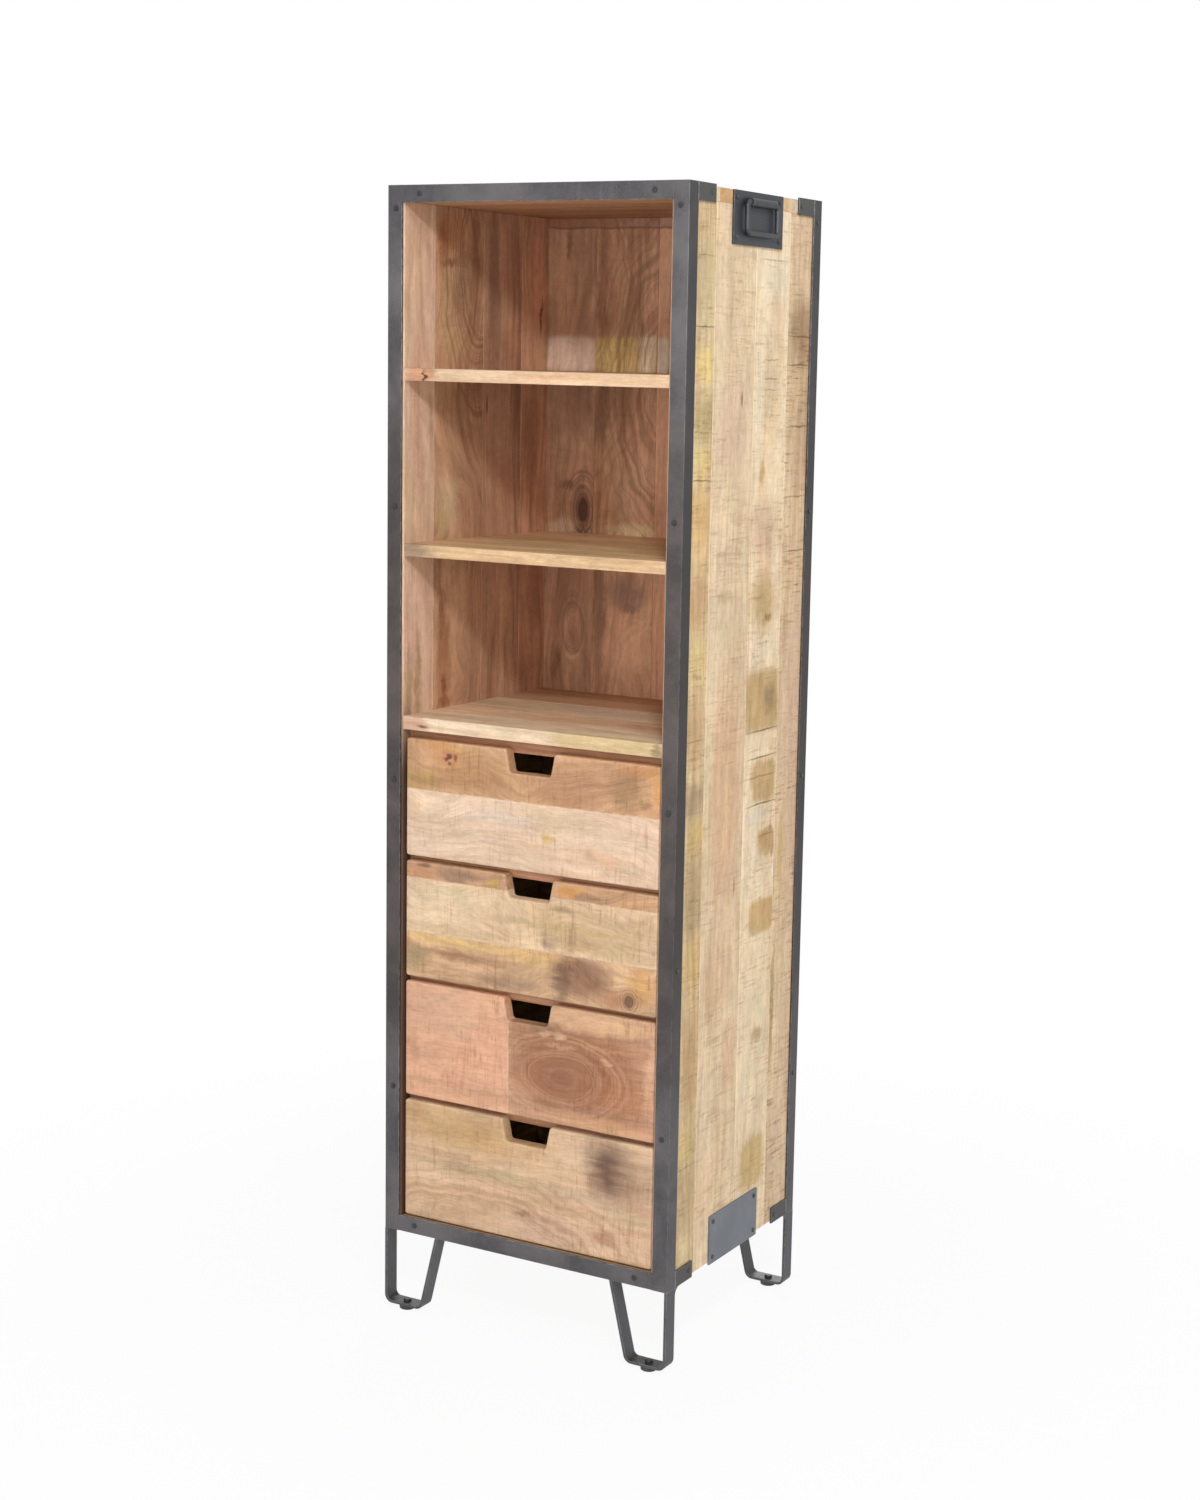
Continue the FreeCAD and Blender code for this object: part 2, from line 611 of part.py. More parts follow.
def bail_path(bail):
    """The rod's middle line: out of one end of the knuckle, round the loop and into the other end."""
    path = new_sketch(bail, "YZ", 0)
    half, straight_half = "(bail_width / 2)", "(bail_width / 2 - bail_bend)"
    low_bend = "(bail_drop - bail_bend)"
    stops = [
        (f"-{PIN_START}", 0), (f"-{straight_half}", 0),
        (f"-{half}", "-bail_bend"), (f"-{half}", f"-{low_bend}"),
        (f"-{straight_half}", "-bail_drop"), (straight_half, "-bail_drop"),
        (half, f"-{low_bend}"), (half, "-bail_bend"),
        (straight_half, 0), (PIN_START, 0),
    ]
    runs = len(stops) // 2
    for i in range(runs):
        path.addGeometry(Part.LineSegment(FreeCAD.Vector(i, 0, 0), FreeCAD.Vector(i, 1, 0)), False)
        hold_point(path, i, 1, stops[2 * i])
        hold_point(path, i, 2, stops[2 * i + 1])
    doc.recompute()
    # The loop is drawn anticlockwise, so each bend turns on by a quarter from the last.
    for i in range(runs - 1):
        start, end = path.Geometry[i].EndPoint, path.Geometry[i + 1].StartPoint
        centre = FreeCAD.Vector(start.x, end.y, 0) if i % 2 == 0 else FreeCAD.Vector(end.x, start.y, 0)
        circle = Part.Circle(centre, ALONG_Z, start.distanceToPoint(centre))
        quarter = math.pi / 2
        path.addGeometry(Part.ArcOfCircle(circle, quarter * (i + 1), quarter * (i + 2)), False)
        bend = runs + i
        path.addConstraint(Sketcher.Constraint("Coincident", i, 2, bend, 1))
        path.addConstraint(Sketcher.Constraint("Coincident", bend, 2, i + 1, 1))
        hold_radius(path, bend, "bail_bend")
    return path


for side, sx in SIDES.items():
    low_x, high_x = between(side, PANEL_OUT, HALF_WIDTH)
    handle_low = f"({HANDLE_PLATE_TOP} - plate_height)"
    for label, low_z, rows in (
            (f"{side}_handle_plate", handle_low, ("handle_upper", "handle_lower")),
            (f"{side}_lower_plate", "leg_height", ("lower_upper", "lower_lower"))):
        low = (low_x, "-plate_width / 2", low_z)
        plate = board(label, low, (high_x, "plate_width / 2", f"{low_z} + plate_height"))
        holes = [hole for screw_row in rows for hole in plate_screws(screw_row)]
        drill_side(plate, low, holes, "iron_wall", side, f"{sx} * {HALF_WIDTH}")

    # The knuckle is a tube with a flat foot, which is welded to the plate.
    pivot = (f"{sx} * ({HALF_WIDTH} + pivot_stand)", 0, f"{FRAME_TOP} - pivot_drop")
    knuckle = piece(f"{side}_handle_knuckle", pivot)
    pad(knuckle, circles(knuckle, "XZ", [(0, 0)], "pivot_radius"), "pivot_length", both_ways=True)
    foot = rectangle(f"{-sx} * pivot_stand", "-pivot_radius", 0, "pivot_radius")
    pad(knuckle, outline(knuckle, "XZ", foot), "pivot_length", both_ways=True)
    bore = circles(knuckle, "XZ", [(0, 0)], "bail_rod + bail_play", "pivot_length / 2")
    pocket(knuckle, bore, "pivot_length")

    bail = piece(f"{side}_handle_bail", pivot)
    path = bail_path(bail)
    rod = bail.newObject("PartDesign::AdditivePipe", "rod")
    rod.Profile = circles(bail, "XZ", [(0, 0)], "bail_rod", PIN_START)
    rod.Spine = path


# ------------------------------------------------------------------------- screws
screw = new_body("screw_master")
pad(screw, circles(screw, "XY", [(0, 0)], "screw_head_radius"), "screw_head_height")
fillet(screw, "screw_head_round", lambda edge: edge.BoundBox.ZMin > 1e-3 and edge.Closed)
pad(screw, circles(screw, "XY", [(0, 0)], "screw_radius"), "screw_length", other_way=True)

ring_screws = []
for end, sy in ENDS.items():
    places = (face_screws("left", end) + face_screws("right", end)
              + rail_screws("top") + rail_screws("bottom"))
    facing_out = FreeCAD.Rotation(ALONG_X, -90 * sy)
    ring_screws += [(screw, (x, f"{sy} * {HALF_DEPTH}", z), facing_out) for x, z in places]
group("frame_screws", ring_screws)

flank_places = (flank_screws("front") + flank_screws("rear") + tab_screws("top") + tab_screws("bottom")
                + [place_yz for screw_row in PLATE_SCREW_Z for place_yz in plate_screws(screw_row)])
side_screws = []
for sx in SIDES.values():
    facing_out = FreeCAD.Rotation(ALONG_Y, 90 * sx)
    side_screws += [(screw, (f"{sx} * {HALF_WIDTH}", y, z), facing_out) for y, z in flank_places]
group("side_screws", side_screws)


# -------------------------------------------------------------- check and write out
doc.recompute()
for thing in doc.Objects:
    if "Invalid" in thing.State or "Error" in thing.State:
        raise RuntimeError(f"{thing.Name} of {thing.Label} failed: {thing.State}")
for sub_part in sub_parts:
    if sub_part.Shape.isNull() or not sub_part.Shape.isValid():
        raise RuntimeError(f"{sub_part.Label} has no valid shape")

os.makedirs("parts", exist_ok=True)
for sub_part in sub_parts:
    sub_part.Shape.exportStep(f"parts/{sub_part.Label}.step")
print(f"wrote {len(sub_parts)} sub-parts")
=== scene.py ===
"""Looks of a tall bookcase: glued boards in a welded angle iron frame, three open bays above four drawers."""
import bmesh
import bpy
import math
import random
from mathutils import Matrix, Vector


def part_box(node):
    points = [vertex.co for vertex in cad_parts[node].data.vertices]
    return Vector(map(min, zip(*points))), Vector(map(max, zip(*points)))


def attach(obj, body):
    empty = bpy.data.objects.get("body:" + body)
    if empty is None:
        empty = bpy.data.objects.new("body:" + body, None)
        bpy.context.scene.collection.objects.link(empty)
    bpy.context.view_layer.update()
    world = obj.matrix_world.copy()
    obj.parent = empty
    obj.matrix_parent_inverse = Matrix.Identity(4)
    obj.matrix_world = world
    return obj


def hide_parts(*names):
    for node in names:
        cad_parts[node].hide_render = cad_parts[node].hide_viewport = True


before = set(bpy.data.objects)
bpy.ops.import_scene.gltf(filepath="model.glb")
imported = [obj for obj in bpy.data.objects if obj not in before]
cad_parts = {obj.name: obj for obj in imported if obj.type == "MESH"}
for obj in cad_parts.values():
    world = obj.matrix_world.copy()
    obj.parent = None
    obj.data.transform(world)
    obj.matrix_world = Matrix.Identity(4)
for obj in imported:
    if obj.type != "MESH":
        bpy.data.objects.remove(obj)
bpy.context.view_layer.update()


# ---- Camera
# A little above the middle of the bookcase, to the right of its front, so that the front and the right
# side both show. The frame is cropped off centre with a small shift.
def placed(name, data):
    """A new object in the scene."""
    made = bpy.data.objects.new(name, data)
    bpy.context.scene.collection.objects.link(made)
    return made


camera = placed("camera", bpy.data.cameras.new("camera"))
bpy.context.scene.camera = camera
turn, tilt, roll = (math.radians(a) for a in (28.31, 8.43, 1.36))
ahead = Vector((-math.sin(turn) * math.cos(tilt), math.cos(turn) * math.cos(tilt), -math.sin(tilt)))
level = Vector((math.cos(turn), math.sin(turn), 0))
above = level.cross(ahead)
camera_right = level * math.cos(roll) + above * math.sin(roll)
camera_up = above * math.cos(roll) - level * math.sin(roll)
camera.matrix_world = (Matrix.Translation((1.8284, -3.0179, 1.4528))
                       @ Matrix((camera_right, camera_up, -ahead)).transposed().to_4x4())
camera.data.lens = 56.33
camera.data.sensor_width = 36
camera.data.shift_x = -0.0787
camera.data.shift_y = -0.0241
camera.data.clip_start, camera.data.clip_end = 0.1, 50


# ---- Angle iron rings
# Two rings of 25 mm angle iron, front and rear, mitred and welded at the corners and lacquered to a dark
# gunmetal. The lacquer is thin: it is pitted and mottled, and bright along the outer edges, partly worn and
# partly a painted highlight.
def colour(code):
    """A colour written as #rrggbb, as the shaders need it."""
    parts = [int(code[i:i + 2], 16) / 255 for i in (1, 3, 5)]
    return [p / 12.92 if p <= 0.04045 else ((p + 0.055) / 1.055) ** 2.4 for p in parts] + [1]


def add(tree, kind, inputs=None, **settings):
    """A new shader node with its settings, each named input fed with a value or a socket."""
    made = tree.nodes.new("ShaderNode" + kind)
    for name, value in settings.items():
        setattr(made, name, value)
    for name, value in (inputs or {}).items():
        if isinstance(value, bpy.types.NodeSocket):
            tree.links.new(value, made.inputs[name])
        else:
            made.inputs[name].default_value = value
    return made


def maths(tree, operation, *values):
    """The result of one Math node."""
    return add(tree, "Math", dict(enumerate(values)), operation=operation).outputs[0]


def vector_maths(tree, operation, *values):
    """The result of one Vector Math node."""
    made = add(tree, "VectorMath", dict(enumerate(values)), operation=operation)
    return made.outputs["Value" if operation in ("LENGTH", "DOT_PRODUCT", "DISTANCE") else "Vector"]


def axes(tree, vector):
    """The vector's parts along X, Y and Z."""
    return add(tree, "SeparateXYZ", {"Vector": vector}).outputs


def blend(tree, share, first, second, way="MIX"):
    """The first colour with a share of the second over it."""
    made = add(tree, "Mix", {0: share, 6: first, 7: second}, data_type="RGBA", blend_type=way)
    return made.outputs[2]


def fade(tree, value, low, high, to_low=0.0, to_high=1.0):
    """The value carried smoothly from one range to another."""
    made = add(tree, "MapRange", {"Value": value, "From Min": low, "From Max": high, "To Min": to_low,
                                  "To Max": to_high}, interpolation_type="SMOOTHSTEP")
    return made.outputs["Result"]


def noise(tree, place, scale, detail=2.0, rough=0.5, warp=0.0):
    """A noise value round 0.5."""
    made = add(tree, "TexNoise", {"Vector": place, "Scale": scale, "Detail": detail, "Roughness": rough,
                                  "Distortion": warp})
    return made.outputs["Fac"]


def stretched(tree, place, amounts):
    """The place with each direction scaled."""
    return vector_maths(tree, "MULTIPLY", place, amounts)


def new_group(name, inputs, outputs):
    """An empty node group; inputs are (name, kind, value), outputs are (name, kind)."""
    group = bpy.data.node_groups.new(name, "ShaderNodeTree")
    for label, kind, value in inputs:
        socket = group.interface.new_socket(label, in_out="INPUT", socket_type="NodeSocket" + kind)
        socket.default_value = value
    for label, kind in outputs:
        group.interface.new_socket(label, in_out="OUTPUT", socket_type="NodeSocket" + kind)
    return group, group.nodes.new("NodeGroupInput").outputs, group.nodes.new("NodeGroupOutput").inputs


def use(tree, group, inputs=None):
    """The outputs of a node group placed in a material."""
    return add(tree, "Group", inputs, node_tree=group).outputs


# Edges: a spotty mask along the outer edges, which the materials paint pale, partly as real wear and partly
# as a painted highlight where the rounded edges catch the light. Its rounded normal shades the edges as if
# eased.
edge_wear, given, out = new_group("edge_wear", [("Reach", "Float", 0.002)],
                                  [("Worn_and_Highlight", "Float"), ("Rounded", "Vector")])
tree = edge_wear
rounded = add(tree, "Bevel", {"Radius": given["Reach"]}, samples=4)
flat = add(tree, "NewGeometry")
facing = vector_maths(tree, "DOT_PRODUCT", rounded.outputs["Normal"], flat.outputs["Normal"])
spots = noise(tree, add(tree, "TexCoord").outputs["Object"], 90.0, 4.0, 0.65)
edge = fade(tree, facing, 0.995, 0.88)
tree.links.new(maths(tree, "MULTIPLY", edge, fade(tree, spots, 0.36, 0.58)), out["Worn_and_Highlight"])
tree.links.new(rounded.outputs["Normal"], out["Rounded"])

iron_skin, given, out = new_group(
    "iron_skin",
    [("Paint", "Color", colour("#605d60")), ("Cloud", "Color", colour("#716e73")),
     ("Bare_and_Highlight", "Color", colour("#b9b6b3")), ("Wear_and_Highlight", "Float", 0.5), ("Dust", "Float", 0.3),
     ("Grime_and_Shade", "Float", 0.0)],
    [("Colour", "Color"), ("Roughness", "Float"), ("Height", "Float"), ("Rounded", "Vector")])
tree = iron_skin
place = add(tree, "TexCoord").outputs["Object"]
clouds = noise(tree, place, 9.0, 5.0, 0.6, 0.4)
smears = noise(tree, stretched(tree, place, (60, 60, 9)), 1.0, 3.0, 0.6)
pits = noise(tree, place, 420.0, 3.0, 0.6)
grit = noise(tree, place, 1500.0, 2.0, 0.5)
body_colour = blend(tree, fade(tree, clouds, 0.35, 0.68), given["Paint"], given["Cloud"])
body_colour = blend(tree, fade(tree, smears, 0.52, 0.75, 0.0, 0.35), body_colour, given["Cloud"])
body_colour = blend(tree, fade(tree, pits, 0.60, 0.72, 0.0, 0.30), body_colour, colour("#37363a"))
body_colour = blend(tree, maths(tree, "MULTIPLY", fade(tree, grit, 0.60, 0.74), given["Dust"]),
                    body_colour, colour("#a5a3a6"))
# Grime and painted shade darken the colour wherever this input asks for it.
body_colour = blend(tree, given["Grime_and_Shade"], body_colour, (0.36, 0.36, 0.36, 1), "MULTIPLY")
# The outer edges take the bare colour: partly real wear, partly a painted highlight.
worn_and_highlight = use(tree, edge_wear, {"Reach": 0.0016})
tree.links.new(worn_and_highlight["Rounded"], out["Rounded"])
bare_and_highlight_share = maths(tree, "MULTIPLY", worn_and_highlight["Worn_and_Highlight"], given["Wear_and_Highlight"])
tree.links.new(blend(tree, bare_and_highlight_share, body_colour, given["Bare_and_Highlight"]), out["Colour"])
gloss = maths(tree, "MULTIPLY_ADD", clouds, 0.22, 0.36)
tree.links.new(maths(tree, "MULTIPLY_ADD", bare_and_highlight_share, -0.12, gloss), out["Roughness"])
dents = maths(tree, "MULTIPLY_ADD", pits, 0.6, maths(tree, "MULTIPLY", grit, 0.25))
tree.links.new(maths(tree, "MULTIPLY_ADD", clouds, 0.7, dents), out["Height"])


def new_material(name):
    """An empty material, its nodes and its shader."""
    material = bpy.data.materials.new(name)
    material.use_nodes = True
    return material, material.node_tree, material.node_tree.nodes["Principled BSDF"]


def iron(name, paint, cloud, bare_metal_and_highlight="#b9b6b3", wear_and_highlight=0.5, dust=0.3, metallic=0.35, bump=0.4):
    """Lacquered iron in its own two shades, with its node group, whose inputs add wear with a painted edge
    highlight, and grime with painted shade.
    """
    material, tree, shader = new_material(name)
    skin = use(tree, iron_skin, {"Paint": colour(paint), "Cloud": colour(cloud), "Bare_and_Highlight": colour(bare_metal_and_highlight),
                                 "Wear_and_Highlight": wear_and_highlight, "Dust": dust})
    shader.inputs["Metallic"].default_value = metallic
    tree.links.new(skin["Colour"], shader.inputs["Base Color"])
    tree.links.new(skin["Roughness"], shader.inputs["Roughness"])
    bumps = add(tree, "Bump", {"Strength": bump, "Distance": 0.0004, "Height": skin["Height"],
                               "Normal": skin["Rounded"]})
    tree.links.new(bumps.outputs["Normal"], shader.inputs["Normal"])
    return material


def skin_of(material):
    """The iron_skin node in a material."""
    return next(node for node in material.node_tree.nodes if node.type == "GROUP")


def dress(material, *nodes):
    """The material on these pieces of the frame."""
    for name in nodes:
        for place_in_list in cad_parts[name].material_slots:
            place_in_list.material = material


ring_iron = iron("ring_iron", "#403e40", "#605c5e", dust=0.65)
tree = ring_iron.node_tree
skin = skin_of(ring_iron)
texture_place = add(tree, "TexCoord").outputs
x, y, z = axes(tree, texture_place["Object"])
aside = maths(tree, "ABSOLUTE", x)

# Painted shade: the side flanges are painted darker than the front ones, save low down. Grime sits in a ring
# round each screw.
sideways = maths(tree, "ABSOLUTE", axes(tree, texture_place["Normal"])["X"])
grime_and_side_shade = maths(tree, "MULTIPLY", fade(tree, sideways, 0.5, 0.8), fade(tree, z, 0.30, 0.75, 0.10, 0.92))
# The rear uprights' screws sit 14 mm lower than the front ones.
upright_level = maths(tree, "MULTIPLY_ADD", maths(tree, "GREATER_THAN", y, 0.0), 0.014, z)
screw_places = [(0.236, up, upright_level) for up in (0.3551, 0.8301, 1.2375, 1.667)]
screw_places += [(0.195, up, z) for up in (1.6875, 0.1395)]
for across, up, height in screw_places:
    spot = add(tree, "CombineXYZ", {"X": aside, "Z": height}).outputs[0]
    away = vector_maths(tree, "DISTANCE", spot, (across, 0, up))
    grime_and_side_shade = maths(tree, "MAXIMUM", grime_and_side_shade, fade(tree, away, 0.0060, 0.0038, 0.0, 0.65))
tree.links.new(grime_and_side_shade, skin.inputs["Grime_and_Shade"])

# Painted shade: the uprights are painted a little darker and browner along their middle.
middle = maths(tree, "MULTIPLY", fade(tree, z, 0.30, 0.55), fade(tree, z, 1.55, 1.15))
browner_painted_shade = blend(tree, middle, skin.outputs["Colour"], (0.74, 0.65, 0.58, 1), "MULTIPLY")
tree.links.new(browner_painted_shade, tree.nodes["Principled BSDF"].inputs["Base Color"])

# Where the rails meet the uprights the weld is ground flush, so no edge is worn there, and no edge highlight
# is painted there either.
at_weld = maths(tree, "MULTIPLY", maths(tree, "COMPARE", aside, 0.225, 0.0032),
                maths(tree, "SUBTRACT", 1.0, maths(tree, "COMPARE", z, 0.914, 0.7605)))
tree.links.new(maths(tree, "MULTIPLY_ADD", at_weld, -0.7, 0.7), skin.inputs["Wear_and_Highlight"])
dress(ring_iron, *(f"{end}_{rest}" for end in ("front", "rear")
                   for rest in ("left_upright", "right_upright", "top_rail", "bottom_rail")))


# ---- Side panels
# Each side is four boards of solid mango wood, 25 mm thick, glued edge to edge with the grain upright and
# sawn rough: fine cuts run across the grain. Outside they are pale, with yellow, olive and pink figure;
# inside the bays they have darkened to a warm brown.
def from_centre(tree, given):
    """The way from a mark's centre to the place, measured in the mark's own reaches."""
    away = vector_maths(tree, "SUBTRACT", given["Place"], given["Centre"])
    return vector_maths(tree, "DIVIDE", away, given["Reach"])


stain_mask, given, out = new_group(
    "stain_mask",
    [("Place", "Vector", (0, 0, 0)), ("Centre", "Vector", (0, 0, 0)), ("Reach", "Vector", (1, 1, 1)),
     ("Squareness", "Float", 2.0), ("Softness", "Float", 0.4)],
    [("Mask", "Float")])
tree = stain_mask
away = vector_maths(tree, "ABSOLUTE", from_centre(tree, given))
parts = axes(tree, away)
powers = [maths(tree, "POWER", parts[i], given["Squareness"]) for i in range(3)]
total = maths(tree, "ADD", maths(tree, "ADD", powers[0], powers[1]), powers[2])
far = maths(tree, "POWER", total, maths(tree, "DIVIDE", 1.0, given["Squareness"]))
inside = fade(tree, far, maths(tree, "ADD", 1.0, given["Softness"]),
              maths(tree, "SUBTRACT", 1.0, given["Softness"]))
tree.links.new(inside, out["Mask"])


def wandering(tree, place, scale, detail=2.0, rough=0.5):
    """A vector that wanders round zero from place to place."""
    made = add(tree, "TexNoise", {"Vector": place, "Scale": scale, "Detail": detail, "Roughness": rough})
    return vector_maths(tree, "SUBTRACT", made.outputs["Color"], (0.5, 0.5, 0.5))


# The log's own directions are: across its width, through its thickness, and along its length.
wood_figure, given, out = new_group(
    "wood_figure",
    [("Log", "Vector", (0, 0, 0)), ("Ring", "Float", 0.011), ("Taper", "Float", 0.035), ("Bow", "Float", 0.0),
     ("Swirl", "Float", 0.0)],
    [("Figure", "Float"), ("Fibre", "Float"), ("Mottle", "Float"), ("Hue", "Float"), ("Height", "Float")])
tree = wood_figure
log = given["Log"]
sway = stretched(tree, wandering(tree, stretched(tree, log, (1, 1, 0.22)), 11.0), (0.055, 0.015, 0.0))
eddies = stretched(tree, wandering(tree, log, 5.5, 2.0, 0.4), (1.0, 0.15, 0.0))
swayed = vector_maths(tree, "ADD", vector_maths(tree, "ADD", log, sway),
                      vector_maths(tree, "MULTIPLY", eddies, given["Swirl"]))
parts = axes(tree, swayed)
from_pith = vector_maths(tree, "LENGTH", stretched(tree, swayed, (1, 1, 0)))
lean = maths(tree, "MULTIPLY_ADD", parts["Z"], given["Taper"], from_pith)
bent = maths(tree, "MULTIPLY_ADD", maths(tree, "MULTIPLY", parts["Z"], parts["Z"]), given["Bow"], lean)
years = maths(tree, "DIVIDE", bent, given["Ring"])
uneven = noise(tree, stretched(tree, swayed, (30, 30, 2)), 1.0, 2.0)
turns = maths(tree, "MULTIPLY", maths(tree, "MULTIPLY_ADD", uneven, 1.6, years), 2 * math.pi)
rings = maths(tree, "MULTIPLY_ADD", maths(tree, "SINE", turns), 0.5, 0.5)
rings = maths(tree, "POWER", rings, 2.2)
strong = fade(tree, noise(tree, stretched(tree, log, (12, 12, 4)), 1.0, 2.0), 0.35, 0.65, 0.2, 1.0)
bands = noise(tree, stretched(tree, swayed, (34, 34, 1.5)), 1.0, 3.0, 0.55)
streaks = noise(tree, stretched(tree, swayed, (150, 150, 5)), 1.0, 4.0, 0.65)
fibres = noise(tree, stretched(tree, swayed, (700, 700, 22)), 1.0, 3.0, 0.6)
pores = fade(tree, noise(tree, stretched(tree, swayed, (1100, 1100, 60)), 1.0, 1.0), 0.60, 0.74)
figure = maths(tree, "MULTIPLY", maths(tree, "MULTIPLY", rings, strong), 0.40)
figure = maths(tree, "ADD", figure, fade(tree, bands, 0.34, 0.70, 0.0, 0.45))
figure = maths(tree, "ADD", figure, fade(tree, streaks, 0.38, 0.72, 0.0, 0.45))
tree.links.new(add(tree, "Clamp", {"Value": figure}).outputs[0], out["Figure"])
tree.links.new(maths(tree, "MULTIPLY_ADD", pores, 0.7, fade(tree, fibres, 0.42, 0.68, 0, 0.6)),
                      out["Fibre"])
clouds = noise(tree, stretched(tree, swayed, (75, 75, 40)), 1.0, 5.0, 0.7)
flecks = noise(tree, stretched(tree, swayed, (430, 430, 75)), 1.0, 3.0, 0.65)
wide = noise(tree, stretched(tree, swayed, (24, 24, 8)), 1.0, 3.0, 0.6)
mottle = maths(tree, "MULTIPLY_ADD", flecks, 0.6, maths(tree, "MULTIPLY", clouds, 0.8))
mottle = maths(tree, "MULTIPLY_ADD", wide, 0.7, mottle)
tree.links.new(maths(tree, "SUBTRACT", mottle, 1.05), out["Mottle"])
hue = noise(tree, stretched(tree, swayed, (32, 32, 9)), 1.0, 4.0, 0.6)
tree.links.new(maths(tree, "SUBTRACT", hue, 0.5), out["Hue"])
tree.links.new(maths(tree, "MULTIPLY_ADD", pores, -0.8, maths(tree, "MULTIPLY_ADD", fibres, 0.9,
                      maths(tree, "MULTIPLY", rings, -0.15))), out["Height"])

saw_marks, given, out = new_group(
    "saw_marks",
    [("Log", "Vector", (0, 0, 0))],
    [("Marks", "Float"), ("Height", "Float")])
tree = saw_marks
log = given["Log"]
fine = noise(tree, stretched(tree, log, (22, 22, 250)), 1.0, 2.0, 0.6)
broken = noise(tree, stretched(tree, log, (150, 150, 70)), 1.0, 3.0)
bold = noise(tree, stretched(tree, log, (9, 9, 105)), 1.0, 2.0, 0.6)
smears = noise(tree, stretched(tree, log, (22, 22, 95)), 1.0, 3.0, 0.65)
zones = fade(tree, noise(tree, log, 13.0, 2.0), 0.40, 0.58)
elsewhere = vector_maths(tree, "ADD", log, (3.1, 1.7, 0.4))
other_zones = fade(tree, noise(tree, elsewhere, 9.0, 2.0), 0.45, 0.60)
lines = maths(tree, "MULTIPLY", fade(tree, fine, 0.52, 0.68), fade(tree, broken, 0.36, 0.60, 0.25, 1.0))
lines = maths(tree, "MULTIPLY", lines, maths(tree, "MULTIPLY_ADD", zones, 0.7, 0.3))
deep = maths(tree, "MULTIPLY", fade(tree, bold, 0.60, 0.70), other_zones)
soft = maths(tree, "MULTIPLY", fade(tree, smears, 0.50, 0.72, 0.0, 0.55),
             maths(tree, "MAXIMUM", zones, other_zones))
marks = maths(tree, "MAXIMUM", maths(tree, "MULTIPLY", deep, 0.85), maths(tree, "MAXIMUM", lines, soft))
tree.links.new(marks, out["Marks"])
tree.links.new(maths(tree, "MULTIPLY", fine, zones), out["Height"])

knot, given, out = new_group(
    "knot",
    [("Place", "Vector", (0, 0, 0)), ("Centre", "Vector", (0, 0, 0)), ("Reach", "Vector", (1, 1, 1)),
     ("Across", "Vector", (1, 0, 0)), ("Push", "Float", 0.01)],
    [("Shove", "Float"), ("Core", "Float"), ("Halo", "Float")])
tree = knot
away = from_centre(tree, given)
far = vector_maths(tree, "LENGTH", away)
uneven = noise(tree, given["Place"], 130.0, 3.0)
ragged = maths(tree, "MULTIPLY_ADD", uneven, 0.5, maths(tree, "SUBTRACT", far, 0.25))
near = maths(tree, "EXPONENT", maths(tree, "MULTIPLY", maths(tree, "MULTIPLY", far, far), -0.35))
side = maths(tree, "MULTIPLY", vector_maths(tree, "DOT_PRODUCT", away, given["Across"]), 2.0)
side = add(tree, "Clamp", {"Value": side, "Min": -1.0, "Max": 1.0}).outputs[0]
tree.links.new(maths(tree, "MULTIPLY", maths(tree, "MULTIPLY", near, side), given["Push"]), out["Shove"])
tree.links.new(fade(tree, ragged, 1.0, 0.55), out["Core"])
loops = maths(tree, "MULTIPLY_ADD", maths(tree, "SINE", maths(tree, "MULTIPLY", ragged, 15.0)), 0.5, 0.5)
tree.links.new(maths(tree, "MULTIPLY", loops, fade(tree, ragged, 2.3, 0.9)), out["Halo"])

contours, given, out = new_group(
    "contours",
    [("Place", "Vector", (0, 0, 0)), ("Centre", "Vector", (0, 0, 0)), ("Reach", "Vector", (1, 1, 1)),
     ("Turns", "Float", 8.0), ("Inner", "Float", 0.0)],
    [("Lines", "Float")])
tree = contours
wobble = maths(tree, "SUBTRACT", noise(tree, given["Place"], 16.0, 3.0, 0.45), 0.5)
far = maths(tree, "MULTIPLY_ADD", wobble, 0.22, vector_maths(tree, "LENGTH", from_centre(tree, given)))
stripes = add(tree, "TexNoise", {"W": maths(tree, "MULTIPLY", far, given["Turns"]), "Scale": 1.0,
                                     "Detail": 2.0, "Roughness": 0.7}, noise_dimensions="1D").outputs["Fac"]
ends = maths(tree, "MULTIPLY", fade(tree, far, 1.05, 0.8),
             fade(tree, maths(tree, "SUBTRACT", far, given["Inner"]), -0.08, 0.08))
tree.links.new(maths(tree, "MULTIPLY", fade(tree, stripes, 0.42, 0.66), ends), out["Lines"])


